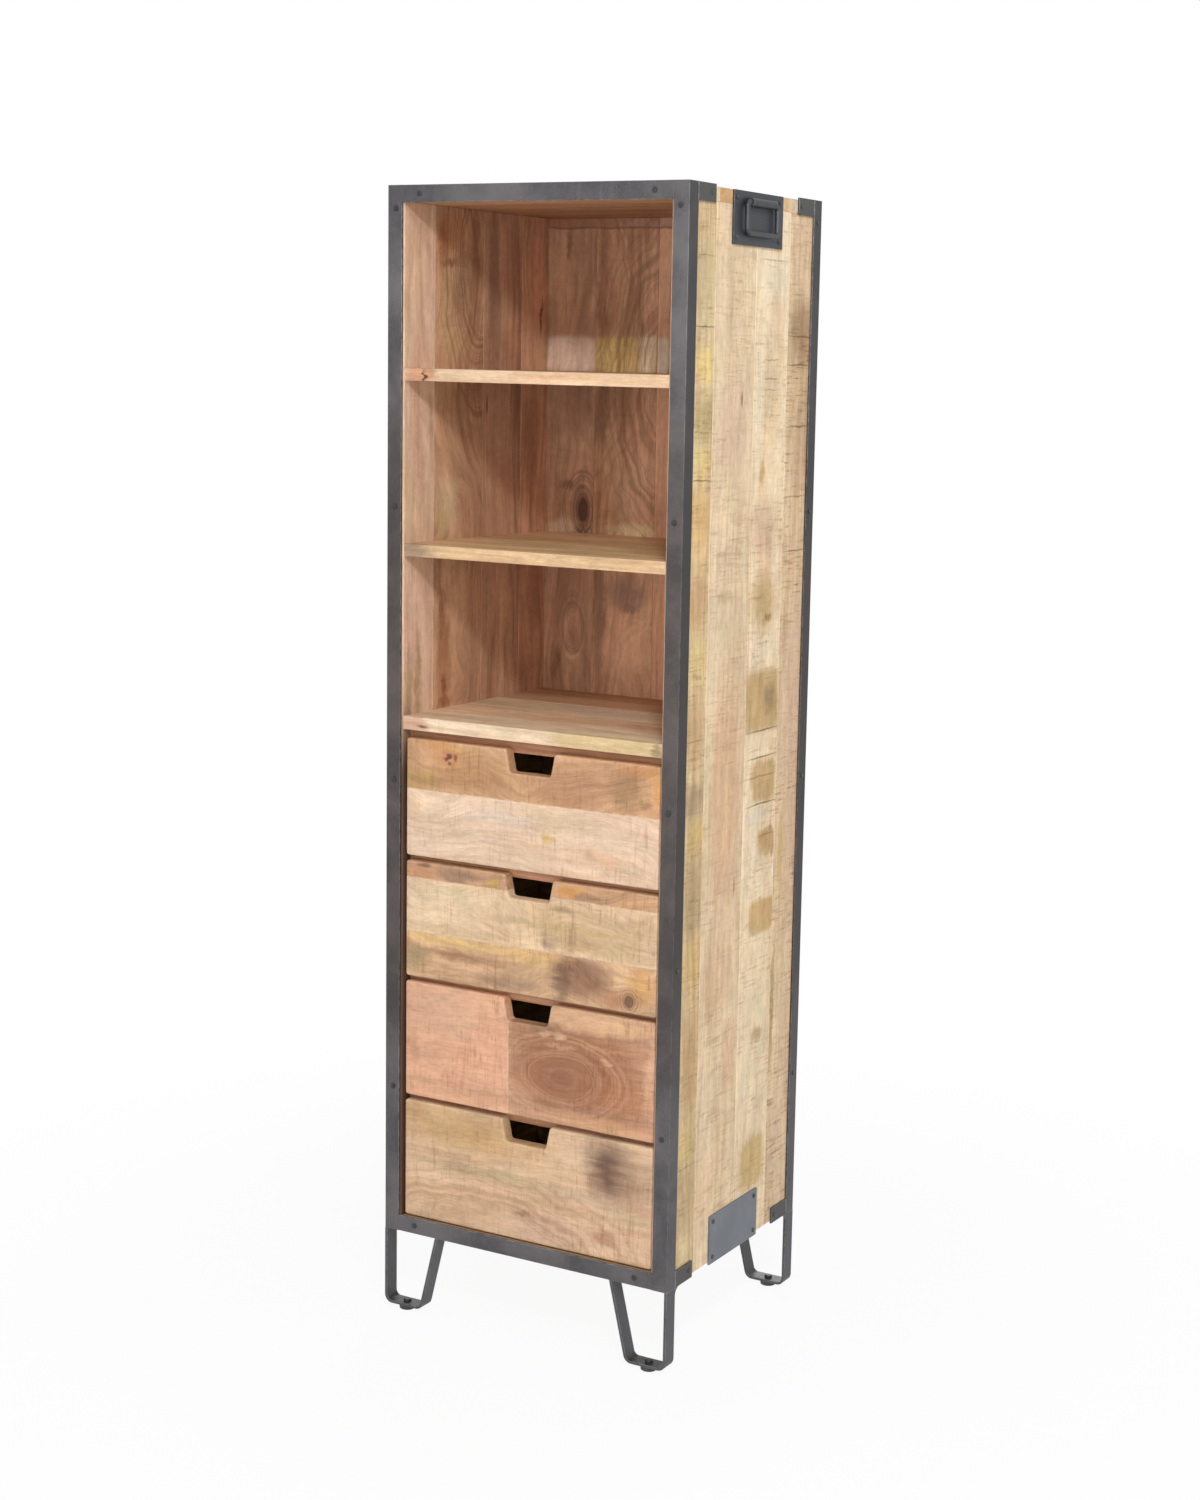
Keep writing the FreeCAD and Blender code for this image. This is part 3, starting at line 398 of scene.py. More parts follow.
def wood(name, stains=(), knots=(), arcs=(), saw=0.30, ring=0.011, taper=0.035, bow=0.0, swirl=0.0,
         fibre=0.16, along=(0, 0, 1), across=(1, 0, 0), edge=0.0, grain=None, tones=None):
    """Oiled wood, with its stains as (centre, reach, shade, amount, squareness, softness), in metres.

    Boards that are cut piece by piece carry their shades and their place in the log. Other pieces name
    their grain's axis and their two shades instead. A knot without a shade only bends the grain round it.
    Arcs are curved grain lines round a place: (centre, reach, turns, shade, amount, inner).
    """
    material, tree, shader = new_material(name)
    place = add(tree, "TexCoord").outputs["Object"]
    if grain is None:
        log = add(tree, "Attribute", attribute_name="log").outputs["Vector"]
        light = add(tree, "Attribute", attribute_name="light").outputs["Color"]
        dark = add(tree, "Attribute", attribute_name="dark").outputs["Color"]
        sawn = add(tree, "Attribute", attribute_name="sawn").outputs["Fac"]
    else:
        sawn = 1.0
        parts = axes(tree, place)
        order = {"X": ("Z", "Y", "X"), "Y": ("X", "Z", "Y"), "Z": ("X", "Y", "Z")}[grain]
        log = add(tree, "CombineXYZ", dict(zip("XYZ", (parts[i] for i in order)))).outputs[0]
        log = vector_maths(tree, "ADD", log, (0.03, 0.05, 0.4))
        light, dark = (colour(code) for code in tones)
    cores = []
    for centre, reach, push, shade in knots:
        bent = use(tree, knot, {"Place": place, "Centre": centre, "Reach": reach, "Across": across,
                                "Push": push})
        log = vector_maths(tree, "SUBTRACT", log, add(tree, "CombineXYZ", {"X": bent["Shove"]}).outputs[0])
        if shade:
            cores.append((bent, shade))
    figure = use(tree, wood_figure, {"Log": log, "Ring": ring, "Taper": taper, "Bow": bow, "Swirl": swirl})
    shade = blend(tree, figure["Figure"], light, dark)

    # Stains feather out along the grain, while blocks and lines keep their sawn edges.
    drift = wandering(tree, place, 30.0, 5.0, 0.7)
    feather = maths(tree, "SUBTRACT", noise(tree, stretched(tree, log, (120, 120, 8)), 1.0, 3.0, 0.6), 0.5)
    feather = add(tree, "CombineXYZ", {"X": feather, "Y": feather, "Z": feather}).outputs[0]
    feather = stretched(tree, feather, [0.03 * amount for amount in along])
    drifted = vector_maths(tree, "MULTIPLY_ADD", drift, (0.026,) * 3, place)
    drifted = vector_maths(tree, "ADD", drifted, feather)
    barely = vector_maths(tree, "MULTIPLY_ADD", drift, (0.008,) * 3, place)
    for centre, reach, code, amount, *form in stains:
        squareness, softness = form if form else (2.0, 0.55)
        sharp = min(reach) < 0.0035 or squareness > 5
        mask = use(tree, stain_mask, {"Place": barely if sharp else drifted, "Centre": centre, "Reach": reach,
                                      "Squareness": squareness, "Softness": softness})["Mask"]
        deeper = [part * 0.66 for part in colour(code)[:3]] + [1]
        lively = blend(tree, maths(tree, "MULTIPLY", figure["Figure"], 0.6), colour(code), deeper)
        shade = blend(tree, maths(tree, "MULTIPLY", mask, amount), shade, lively)
    for centre, reach, turns, code, amount, inner in arcs:
        curved = use(tree, contours, {"Place": place, "Centre": centre, "Reach": reach, "Turns": turns,
                                      "Inner": inner})["Lines"]
        shade = blend(tree, maths(tree, "MULTIPLY", curved, amount), shade, colour(code))
    for bent, code in cores:
        shade = blend(tree, maths(tree, "MULTIPLY", bent["Halo"], 0.45), shade, colour(code))
        shade = blend(tree, maths(tree, "MULTIPLY", bent["Core"], 0.85), shade, colour(code))
    hairs = maths(tree, "MULTIPLY", figure["Fibre"], fibre)
    shade = blend(tree, hairs, shade, (0.25, 0.16, 0.10, 1), "MULTIPLY")
    saws = use(tree, saw_marks, {"Log": log})
    cuts = maths(tree, "MULTIPLY", maths(tree, "MULTIPLY", saws["Marks"], sawn), saw)
    shade = blend(tree, cuts, shade, (0.50, 0.35, 0.24, 1), "MULTIPLY")
    varied = add(tree, "HueSaturation", {"Hue": maths(tree, "MULTIPLY_ADD", figure["Hue"], 0.03, 0.498),
                                         "Value": maths(tree, "MULTIPLY_ADD", figure["Mottle"], 0.75, 1.0),
                                         "Color": shade})
    shade = varied.outputs["Color"]
    # The outer edges are painted pale: partly rubbed wear, partly a painted highlight where the rounded edges
    # catch the light.
    if edge:
        worn_and_highlight = use(tree, edge_wear, {"Reach": 0.0032})["Worn_and_Highlight"]
        shade = blend(tree, maths(tree, "MULTIPLY", worn_and_highlight, edge), shade, colour("#e3cdb0"))
    shader.inputs["Specular IOR Level"].default_value = 0.35
    tree.links.new(shade, shader.inputs["Base Color"])
    tree.links.new(maths(tree, "MULTIPLY_ADD", figure["Figure"], 0.12, 0.50), shader.inputs["Roughness"])
    relief = maths(tree, "MULTIPLY_ADD", saws["Height"], -0.5, figure["Height"])
    bumps = add(tree, "Bump", {"Strength": 0.45, "Distance": 0.0005, "Height": relief})
    tree.links.new(bumps.outputs["Normal"], shader.inputs["Normal"])
    return material


def piece(bm, name, material):
    """The finished mesh as an object in one material."""
    mesh = bpy.data.meshes.new(name)
    bm.to_mesh(mesh)
    bm.free()
    mesh.materials.append(material)
    return placed(name, mesh)


def board_piece(bm, name, tone, grain, depth, outward, material, body, node):
    """One finished board on its body, with its shades and its place in the log kept on its points.

    A tone is (light, dark) or, where the two faces differ, (light, dark, inner light, inner dark). An
    inner face is less rough from the saw.
    """
    layers = bm.verts.layers
    log = layers.float_vector.new("log")
    light, dark = layers.float_color.new("light"), layers.float_color.new("dark")
    sawn = layers.float.new("sawn")
    width = 3 - grain - depth
    lows = [min(v.co[i] for v in bm.verts) for i in range(3)]
    highs = [max(v.co[i] for v in bm.verts) for i in range(3)]
    shades = [colour(code) for code in tone]
    chance = random.Random(name)
    pith = Vector((chance.uniform(-0.05, 0.05), chance.choice((-1, 1)) * chance.uniform(0.03, 0.08),
                   chance.uniform(0, 3)))
    for v in bm.verts:
        spot = Vector((v.co[width] - (lows[width] + highs[width]) / 2, v.co[depth] - lows[depth],
                       v.co[grain]))
        v[log] = spot + pith
        inner = len(shades) > 2 and (v.co[depth] - (lows[depth] + highs[depth]) / 2) * outward < 0
        v[light], v[dark] = shades[2:] if inner else shades[:2]
        v[sawn] = 0.4 if inner else 1.0
    bmesh.ops.recalc_face_normals(bm, faces=bm.faces)
    made = piece(bm, name, material)
    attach(made, body)
    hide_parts(node)


def glued_boards(name, node, split, grain, depth, seams, tones, slot, marks=None, knots=None, own=None,
                 outward=0, **finish):
    """Flat boards that fill the node's box, edge to edge between the seams, each with its edges eased.

    Marks, knots and finishes of single boards go by the board's place. Boards without any share one wood.
    """
    eased = 0.0006
    low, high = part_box(node)
    stops = [low[split], *seams, high[split]]
    marks, knots, own = marks or {}, knots or {}, own or {}
    plain = wood(f"{name}_wood", **finish)
    for i, (start, end) in enumerate(zip(stops, stops[1:])):
        near, far = low.copy(), high.copy()
        near[split], far[split] = start, end
        form = Matrix.Translation((near + far) / 2) @ Matrix.Diagonal((*(far - near), 1))
        bm = bmesh.new()
        bmesh.ops.create_cube(bm, size=1, matrix=form)
        bmesh.ops.bevel(bm, geom=bm.edges[:], offset=eased, affect="EDGES", segments=1, profile=0.5,
                        material=-1)
        material = plain
        if i in marks or i in knots or i in own:
            material = wood(f"{name}_{i + 1}_wood", marks.get(i, ()), knots.get(i, ()),
                            **{**finish, **own.get(i, {})})
        board_piece(bm, f"{name}_{i + 1}", tones[i], grain, depth, outward, material, "case", node)


def face_marks(normal, level, depth, boards):
    """Each board's marks on one face, which lies at that level on its normal's axis.

    A mark is (place, place, half size, half size, shade, amount, ...), in millimetres along the face's own
    two directions, and it fades over that depth.
    """
    placed = {}
    for board, marks in boards.items():
        placed[board] = []
        for mark in marks:
            centre, reach = [part / 1000 for part in mark[:2]], [part / 1000 for part in mark[2:4]]
            centre.insert(normal, level)
            reach.insert(normal, depth)
            placed[board].append((centre, reach, *mark[4:]))
    return placed


BLOCK, LINE = (6.0, 0.2), (2.0, 0.6)
CUT = "#7d6745"
right_marks = {
    0: [(-145, 1560, 30, 60, "#cdbb8e", 0.55), (-141, 1454, 34, 26, "#edd082", 0.75),
        (-143, 1378, 30, 32, "#a9945c", 0.60), (-143, 1316, 32, 22, "#e2c87e", 0.65),
        (-151, 1240, 32, 52, "#dbb06c", 0.65), (-152, 1128, 30, 48, "#c39a6a", 0.70),
        (-145, 1036, 30, 36, "#e6ca86", 0.60), (-150, 944, 30, 50, "#c9a276", 0.60),
        (-145, 843, 30, 23, "#ad9270", 0.75), (-139, 787, 30, 25, "#e2c07c", 0.75),
        (-144, 697, 30, 62, "#b3966e", 0.65), (-140, 601, 30, 37, "#dfba74", 0.65),
        (-143, 460, 30, 75, "#c69e6c", 0.60), (-146, 333, 28, 24, "#d9bb78", 0.60),
        (-151, 252, 30, 52, "#bd9f76", 0.65), (-144, 1506, 30, 1.0, CUT, 0.85, *LINE),
        (-148, 1603, 26, 0.8, CUT, 0.50, *LINE), (-148, 1294, 32, 1.2, CUT, 0.85, *LINE),
        (-149, 927, 26, 1.0, CUT, 0.55, *LINE), (-146, 300, 24, 1.1, CUT, 0.55, *LINE)],
    1: [(-51, 1364, 46, 60, "#e8c7a8", 0.60), (-54, 829, 46, 165, "#e2b68c", 0.70),
        (-109, 895, 9, 100, "#ecdab0", 0.70), (-91, 560, 8, 75, "#9c8258", 0.50),
        (-25, 438, 19, 53, "#d9ae88", 0.55, *BLOCK), (-60, 560, 50, 60, "#dfb78f", 0.55),
        (-32, 1406, 2.5, 11, "#9a5f42", 0.80), (-20, 694, 2, 12, "#9a5f42", 0.70),
        (-70, 1126, 20, 10, "#c8a77c", 0.60), (-90, 250, 30, 60, "#e9c79e", 0.50)],
    2: [(23, 1406, 15, 105, "#f8e6c4", 0.75), (58, 1440, 24, 66, "#d4bd98", 0.50),
        (60, 1582, 44, 32, "#fae9c9", 0.7, 4.0, 0.3), (60, 1606, 44, 1.2, CUT, 0.45, *LINE),
        (36, 1299, 7, 16, "#d3b06c", 0.80), (40, 1217, 34, 46, "#dfbc9b", 0.75),
        (50, 1110, 44, 37, "#cfae76", 0.75), (67, 1086, 13, 6, "#9e7c48", 0.85),
        (60, 1041, 45, 18, "#f8e4c2", 0.7), (55, 963, 54, 46, "#c9a56a", 0.85, *BLOCK),
        (84, 965, 20, 22, "#9c8158", 0.70), (64, 841, 38, 32, "#cfaa70", 0.85, 4.0, 0.2),
        (58, 789, 46, 11, "#f2dfc4", 0.7), (78, 744, 28, 22, "#c99f66", 0.85, 4.0, 0.2),
        (47, 707, 32, 34, "#f2dcba", 0.70), (72, 632, 40, 26, "#cda569", 0.85, *BLOCK),
        (55, 424, 50, 145, "#f5dfba", 0.7), (64, 450, 17, 11, "#c39f6a", 0.75),
        (60, 247, 38, 40, "#d2b06c", 0.80, 4.0, 0.25), (57, 918, 46, 1.2, CUT, 0.85, *LINE),
        (60, 877, 46, 1.2, CUT, 0.80, *LINE), (61, 848, 46, 1.2, CUT, 0.60, *LINE),
        (64, 806, 44, 1.2, CUT, 0.85, *LINE), (80, 756, 27, 1.0, CUT, 0.65, *LINE),
        (60, 1463, 20, 1.2, CUT, 0.50, *LINE), (55, 1436, 22, 1.2, CUT, 0.60, *LINE),
        (55, 1420, 18, 1.0, CUT, 0.50, *LINE)],
    3: [(150, 1500, 40, 50, "#ad8a62", 0.80), (155, 1376, 38, 90, "#cdaa80", 0.50),
        (154, 859, 32, 200, "#dab797", 0.60), (125, 723, 7, 65, "#c8ac62", 0.75),
        (113, 476, 5, 96, "#b39550", 0.75), (150, 240, 36, 100, "#e3c8a2", 0.55),
        (147, 1499, 36, 1.3, "#755638", 0.80, *LINE), (146, 1457, 36, 1.3, "#755638", 0.85, *LINE),
        (149, 1366, 36, 1.3, "#755638", 0.70, *LINE), (148, 1180, 34, 1.2, "#755638", 0.65, *LINE),
        (148, 1262, 34, 1.2, "#8a6a48", 0.60, *LINE)],
}
glued_boards("right_side_board", "right_side_panel", split=1, grain=2, depth=0, outward=1,
             seams=(-0.119, 0.003, 0.107), slot="side_boards", across=(0, 1, 0), fibre=0.10,
             marks=face_marks(0, 0.247, 0.012, right_marks),
             own={0: {"saw": 0.60}, 1: {"saw": 0.42}, 2: {"saw": 0.50}, 3: {"saw": 0.90}}, tones=[
                 ("#e4cda0", "#c4a679", "#d9b79a", "#bf9675"), ("#ecd5b2", "#d9bc94", "#cb9d7a", "#a27659"),
                 ("#f7e3c2", "#e6c79a", "#c99a79", "#9f745a"), ("#ebd0aa", "#c8a67e", "#d6a07c", "#a4785d")])


left_marks_inside = {
    0: [(-184, 1230, 12, 70, "#c4ac7e", 0.6), (-150, 1150, 16, 40, "#d9b590", 0.5),
        (-163, 985, 7, 70, "#a3845a", 0.6), (-185, 960, 10, 50, "#ae9062", 0.6),
        (-140, 1480, 12, 60, "#e0c1a7", 0.5), (-188, 1560, 5, 90, "#c0a36e", 0.5),
        # Painted shade: a dark strip low along the front edge, beside the drawers.
        (-191, 500, 13, 420, "#4a3124", 0.95, *BLOCK)],
    1: [(-104, 1632, 16, 36, "#a86c45", 0.75), (-70, 1640, 24, 30, "#c78f62", 0.6),
        (-86, 1597, 22, 6, "#80502f", 0.7), (-52, 1566, 22, 34, "#a98b6b", 0.6),
        (-96, 1530, 14, 60, "#c7a877", 0.6), (-66, 1480, 34, 24, "#c8a878", 0.6),
        (-20, 1600, 12, 70, "#99684a", 0.6), (-26, 1475, 20, 30, "#c89a78", 0.6),
        (-90, 1236, 26, 44, "#d8bd98", 0.7), (-103, 1206, 12, 30, "#c3ab78", 0.7),
        (-60, 1390, 50, 24, "#ab7b5c", 0.5), (-30, 1240, 26, 50, "#c8967a", 0.5),
        (-98, 1010, 16, 90, "#a26c4b", 0.7), (-96, 962, 6, 14, "#7d4729", 0.75),
        (-90, 938, 14, 10, "#8a5132", 0.7), (-104, 1080, 5, 12, "#8a5638", 0.6),
        (-30, 1000, 22, 60, "#bb9276", 0.5)],
    2: [(30, 1560, 14, 110, "#8f6b55", 0.65), (86, 1600, 20, 60, "#a86f55", 0.55),
        (88, 1480, 30, 40, "#c38a67", 0.6), (15, 1386, 2.5, 14, "#6e4129", 0.8),
        (94, 1380, 14, 50, "#9c715a", 0.5), (60, 1250, 40, 40, "#bf906f", 0.5),
        (60, 1010, 7, 90, "#e0b690", 0.6), (36, 970, 14, 50, "#a77c5e", 0.5)],
    3: [(150, 1590, 16, 80, "#e2a785", 0.7), (166, 1522, 4, 26, "#84492f", 0.8),
        (176, 1472, 8, 26, "#d2b088", 0.6), (138, 1330, 22, 70, "#96694f", 0.55),
        (177, 1212, 12, 22, "#e3b08a", 0.75), (157, 1080, 22, 60, "#a2765a", 0.5),
        (150, 980, 22, 40, "#cf9c7a", 0.5)],
}
left_marks_outside = {
    0: [(-150, 1440, 30, 60, "#d9b878", 0.6), (-150, 1120, 30, 70, "#ba966a", 0.6),
        (-150, 800, 28, 40, "#e2c486", 0.6), (-150, 480, 30, 70, "#b89768", 0.6),
        (-150, 1290, 28, 1.2, CUT, 0.7, *LINE)],
    1: [(-60, 560, 50, 70, "#d8ac82", 0.6), (-60, 1210, 40, 90, "#f0dcba", 0.6)],
    2: [(56, 1090, 46, 40, "#c8a46c", 0.8, *BLOCK), (60, 700, 44, 26, "#cca870", 0.8, *BLOCK),
        (56, 400, 40, 120, "#f2dfc2", 0.7), (57, 920, 46, 1.2, CUT, 0.8, *LINE)],
    3: [(152, 1440, 36, 60, "#ad8a62", 0.7), (150, 1430, 36, 1.3, CUT, 0.8, *LINE),
        (148, 640, 36, 1.3, CUT, 0.7, *LINE)],
}
left_marks = face_marks(0, -0.222, 0.008, left_marks_inside)
for board, marks in face_marks(0, -0.247, 0.012, left_marks_outside).items():
    left_marks[board] += marks
left_grain = {
    1: {"swirl": 0.14, "arcs": [
        ((-0.222, -0.010, 1.600), (0.012, 0.100, 0.260), 16, "#8a5c3e", 0.55, 0.30),
        ((-0.222, -0.054, 1.560), (0.012, 0.026, 0.042), 5, "#8a6245", 0.50, 0.20)]},
    3: {"swirl": 0.06},
}
glued_boards("left_side_board", "left_side_panel", split=1, grain=2, depth=0, outward=-1,
             seams=(-0.124, 0.004, 0.110), slot="side_boards", across=(0, 1, 0), saw=0.42, fibre=0.12,
             marks=left_marks, own=left_grain, tones=[
                 ("#e0c594", "#b99a6c", "#dfbfa5", "#c39d7f"), ("#e6cba6", "#cba880", "#d1a783", "#a47b60"),
                 ("#eed6b0", "#cfae82", "#d2a585", "#a37b61"), ("#e4c9a4", "#be9e76", "#e0ad88", "#a97f63")])


# ---- Top and bottom boards
# Both are glued from boards that run from side to side. The top board covers the side panels, so that its
# end grain shows above them between the plates; its front edges hide behind the top rails.
end_marks = {
    0: [(-122, 1687, 10, 12, "#edd8b2", 0.9, *BLOCK)],
    1: [(-93, 1687, 20, 12, "#e0b27c", 0.85, *BLOCK)],
    2: [(86, 1687, 13, 12, "#e8c492", 0.8, *BLOCK)],
    3: [(113, 1687, 16, 12, "#edd8b4", 0.9, *BLOCK)],
}
LEVEL = {"along": (1, 0, 0), "across": (0, 1, 0)}
glued_boards("top_board", "top_board", split=1, grain=0, depth=2, outward=1,
             seams=(-0.112, -0.010, 0.098), slot="side_boards", ring=0.006, saw=0.2, **LEVEL,
             marks=face_marks(0, 0.247, 0.02, end_marks), tones=[
                 ("#dfc093", "#bd9768", "#d9ad84", "#b0825c"), ("#e9cda4", "#cda878", "#cfa27c", "#a2775a"),
                 ("#e2c090", "#bd9460", "#c69a75", "#9c7152"), ("#dcb88a", "#b68c5c", "#c89b78", "#a07454")])
glued_boards("bottom_board", "bottom_board", split=1, grain=0, depth=2,
             seams=(-0.105, 0.012, 0.101), slot="side_boards", saw=0.2, **LEVEL, tones=[
                 ("#d9b78c", "#b48e62"), ("#e0c29a", "#bf9a70"),
                 ("#cfa87c", "#a98056"), ("#dab58a", "#b18a60")])


# ---- Back panel
# Four upright boards of dark reddish brown heartwood, 15 mm thick, close the back of the bays. One has a
# large knot at the middle bay, and paler pieces show low in the top bay and at the right.
back_marks = {
    0: [(-200, 1560, 12, 80, "#bc936e", 0.6), (-182, 1637, 5, 26, "#764f37", 0.6),
        (-177, 1466, 45, 27, "#f3d8c0", 0.90, *BLOCK), (-160, 1560, 20, 90, "#a37a5b", 0.5),
        (-177, 1670, 60, 8, "#ab7c5f", 0.8, *BLOCK), (-177, 1662, 60, 1.4, "#714833", 0.6, *LINE),
        (-205, 1390, 14, 60, "#b28d6e", 0.6), (-165, 1390, 26, 50, "#987157", 0.6),
        (-150, 1220, 17, 36, "#926d55", 0.7), (-179, 1259, 16, 7, "#805c46", 0.7),
        (-188, 1190, 24, 14, "#e6c9a5", 0.7), (-151, 1188, 16, 4, "#654735", 0.7),
        (-163, 1095, 34, 44, "#a4795b", 0.6), (-167, 1020, 9, 24, "#a57455", 0.6),
        (-168, 985, 16, 10, "#ecbb94", 0.6), (-199, 975, 7, 30, "#805b44", 0.7),
        (-208, 1010, 9, 60, "#cf9b76", 0.5)],
    1: [(-120, 1570, 9, 90, "#936748", 0.7), (-80, 1560, 10, 80, "#dcb185", 0.5),
        (-34, 1540, 12, 50, "#efbb96", 0.6), (-75, 1670, 90, 8, "#af8066", 0.8, *BLOCK),
        (-50, 1668, 34, 6, "#c29f92", 0.6), (-75, 1662, 90, 1.4, "#714833", 0.6, *LINE),
        (-92, 1466, 39, 28, "#e2c27c", 0.88, *BLOCK), (-37, 1468, 16, 28, "#f6e2bc", 0.90, *BLOCK),
        (-118, 1380, 14, 60, "#846248", 0.75), (-75, 1400, 24, 40, "#9f7853", 0.6),
        (-60, 1250, 34, 60, "#e8bb98", 0.7), (-45, 1192, 50, 10, "#efdda9", 0.75),
        (-118, 1060, 12, 120, "#8f6a51", 0.75), (-68, 1090, 34, 26, "#957566", 0.75),
        (-60, 1066, 14, 7, "#84675d", 0.7), (-60, 990, 44, 60, "#e5b18c", 0.7),
        (-100, 950, 26, 14, "#c29370", 0.6)],
    2: [(-9, 1466, 11, 27, "#f8ead0", 0.90, *BLOCK), (-4, 1670, 40, 8, "#ba9387", 0.7, *BLOCK),
        (-8, 1662, 30, 1.4, "#714833", 0.6, *LINE), (-9, 1560, 8, 80, "#cfa487", 0.5),
        (-9, 998, 2.5, 60, "#aa704f", 0.6), (-4, 1060, 10, 110, "#efb68e", 0.5)],
}
back_grain = {
    0: {"swirl": 0.05, "arcs": [
        ((-0.167, 0.1845, 1.030), (0.030, 0.012, 0.062), 7, "#7f5740", 0.60, 0.25),
        ((-0.152, 0.1845, 1.222), (0.042, 0.012, 0.070), 9, "#76523e", 0.45, 0.38)]},
    1: {"swirl": 0.04, "arcs": [
        ((0.010, 0.1845, 1.425), (0.150, 0.012, 0.300), 11, "#8d6547", 0.50, 0.10),
        ((-0.160, 0.1845, 1.560), (0.150, 0.012, 0.400), 13, "#8e6344", 0.40, 0.15),
        ((-0.010, 0.1845, 0.930), (0.100, 0.012, 0.150), 9, "#e6bb98", 0.45, 0.10)]},
}
back_knots = {0: [((-0.1505, 0.1845, 1.2200), (0.013, 0.03, 0.028), 0.035, "#4d3428")]}
glued_boards("back_board", "back_panel", split=0, grain=2, depth=1, outward=1, saw=0.36, taper=0.05,
             marks=face_marks(1, 0.1845, 0.008, back_marks), knots=back_knots, own=back_grain,
             seams=(-0.132, -0.019, 0.100), slot="back_boards", tones=[
                 ("#c9a27a", "#9c7450", "#d1a381", "#9a7458"), ("#b98f68", "#8c6445", "#ddad86", "#a07353"),
                 ("#c8a078", "#9a7250", "#efbe96", "#cc9874"), ("#bd946c", "#906848", "#d2a480", "#a67a5a")])


# ---- Shelves and drawer deck
# Two fixed shelves and the thicker deck over the drawers, glued from boards that run from side to side.
# Their front edges are planed and paler than their tops; the ends of two of them hold small knots.
def shelf_marks(*marks):
    """Marks in millimetres: place and half sizes along x, y and z, shade, amount, ..."""
    return [([part / 1000 for part in mark[:3]], [part / 1000 for part in mark[3:6]], *mark[6:])
            for mark in marks]


upper_marks = shelf_marks(
    (-196, -199, 1430, 26, 9, 14, "#c98f69", 0.8), (-187, -199, 1427, 3.5, 6, 9, "#52291e", 0.95),
    (-176, -199, 1437, 12, 8, 4, "#a5785a", 0.6), (40, -199, 1430, 60, 6, 5, "#d2a87c", 0.5),
    (-90, -199, 1434, 70, 6, 3, "#e6cdae", 0.5))
glued_boards("upper_shelf_board", "upper_shelf", split=1, grain=0, depth=2, marks={0: upper_marks},
             seams=(-0.112, -0.008, 0.090), slot="shelf_boards", saw=0.10, edge=0.3, **LEVEL, tones=[
                 ("#e0c09e", "#c8a27c"), ("#cfae86", "#ad8660"),
                 ("#c4a078", "#9e7854"), ("#bb956e", "#96704e")])
middle_marks = shelf_marks(
    (-200, -199, 1174, 26, 10, 12, "#9a806a", 0.85), (-170, -199, 1178, 30, 8, 4, "#c4a47a", 0.6),
    (100, -199, 1176, 70, 6, 4, "#dcb88a", 0.5), (60, -150, 1183, 80, 30, 3, "#b89c70", 0.6),
    (-205, -190, 1183, 20, 12, 4, "#7d6450", 0.6))
glued_boards("middle_shelf_board", "middle_shelf", split=1, grain=0, depth=2,
             marks={0: middle_marks, 1: shelf_marks((-60, -60, 1183, 90, 20, 3, "#b8a67c", 0.6))},
             seams=(-0.120, -0.020, 0.085), slot="shelf_boards", saw=0.10, edge=0.3, **LEVEL, tones=[
                 ("#ddbc92", "#bb976c"), ("#d8b88c", "#b59468"),
                 ("#dfba8c", "#bd9468"), ("#e6bf94", "#c89a70")])
deck_marks = shelf_marks(
    (-205, -199, 917, 24, 8, 14, "#c8957a", 0.7), (-188, -199, 914, 8, 6, 2, "#6e402c", 0.8),
    (-60, -199, 922, 60, 8, 5, "#e0c8a6", 0.6), (130, -199, 917, 88, 12, 14, "#d4ba86", 0.85, *BLOCK),
    (215, -199, 915, 8, 8, 14, "#95835c", 0.8))
glued_boards("deck_board", "drawer_deck", split=1, grain=0, depth=2,
             marks={0: deck_marks, 1: shelf_marks((30, -80, 927, 120, 22, 3, "#d6ab86", 0.7)),
                    2: shelf_marks((20, 10, 927, 130, 16, 3, "#dccbb4", 0.7))},
             seams=(-0.128, -0.035, 0.055), slot="shelf_boards", saw=0.12, edge=0.3, **LEVEL, tones=[
                 ("#ead4b6", "#d0b18d"), ("#e8caa8", "#cba481"),
                 ("#ead4b4", "#ccae8c"), ("#d8ae8c", "#b08868")])


# ---- Drawer rails and runners
# Plain strips of the same wood: a rail behind the top edge of each front, and runners on both sides.
strip_wood = wood("strip_wood", grain="X", tones=("#c4936c", "#986a4a"), saw=0.1)
runner_wood = wood("runner_wood", grain="Y", tones=("#cfa678", "#a67c54"), saw=0.2)
dress(strip_wood, *(f"drawer_rail_{number}" for number in (1, 2, 3, 4)))
dress(runner_wood, "left_runners", "right_runners")


# ---- Drawer fronts
# Four fronts, 19 mm thick, each glued up from its own boards with the grain level, and with all its outer
# edges rounded. A trapezoid finger hold is cut out of each top edge.
def front_edges(bm, face, split, seams):
    """The edges of a board's front face: those round the front, and those on its seams."""
    edges = [e for e in bm.edges if all(abs(v.co.y - face) < 1e-6 for v in e.verts)]
    glued = [e for e in edges
             if any(all(abs(v.co[split] - seam) < 1e-5 for v in e.verts) for seam in seams)]
    return [e for e in edges if e not in glued], glued


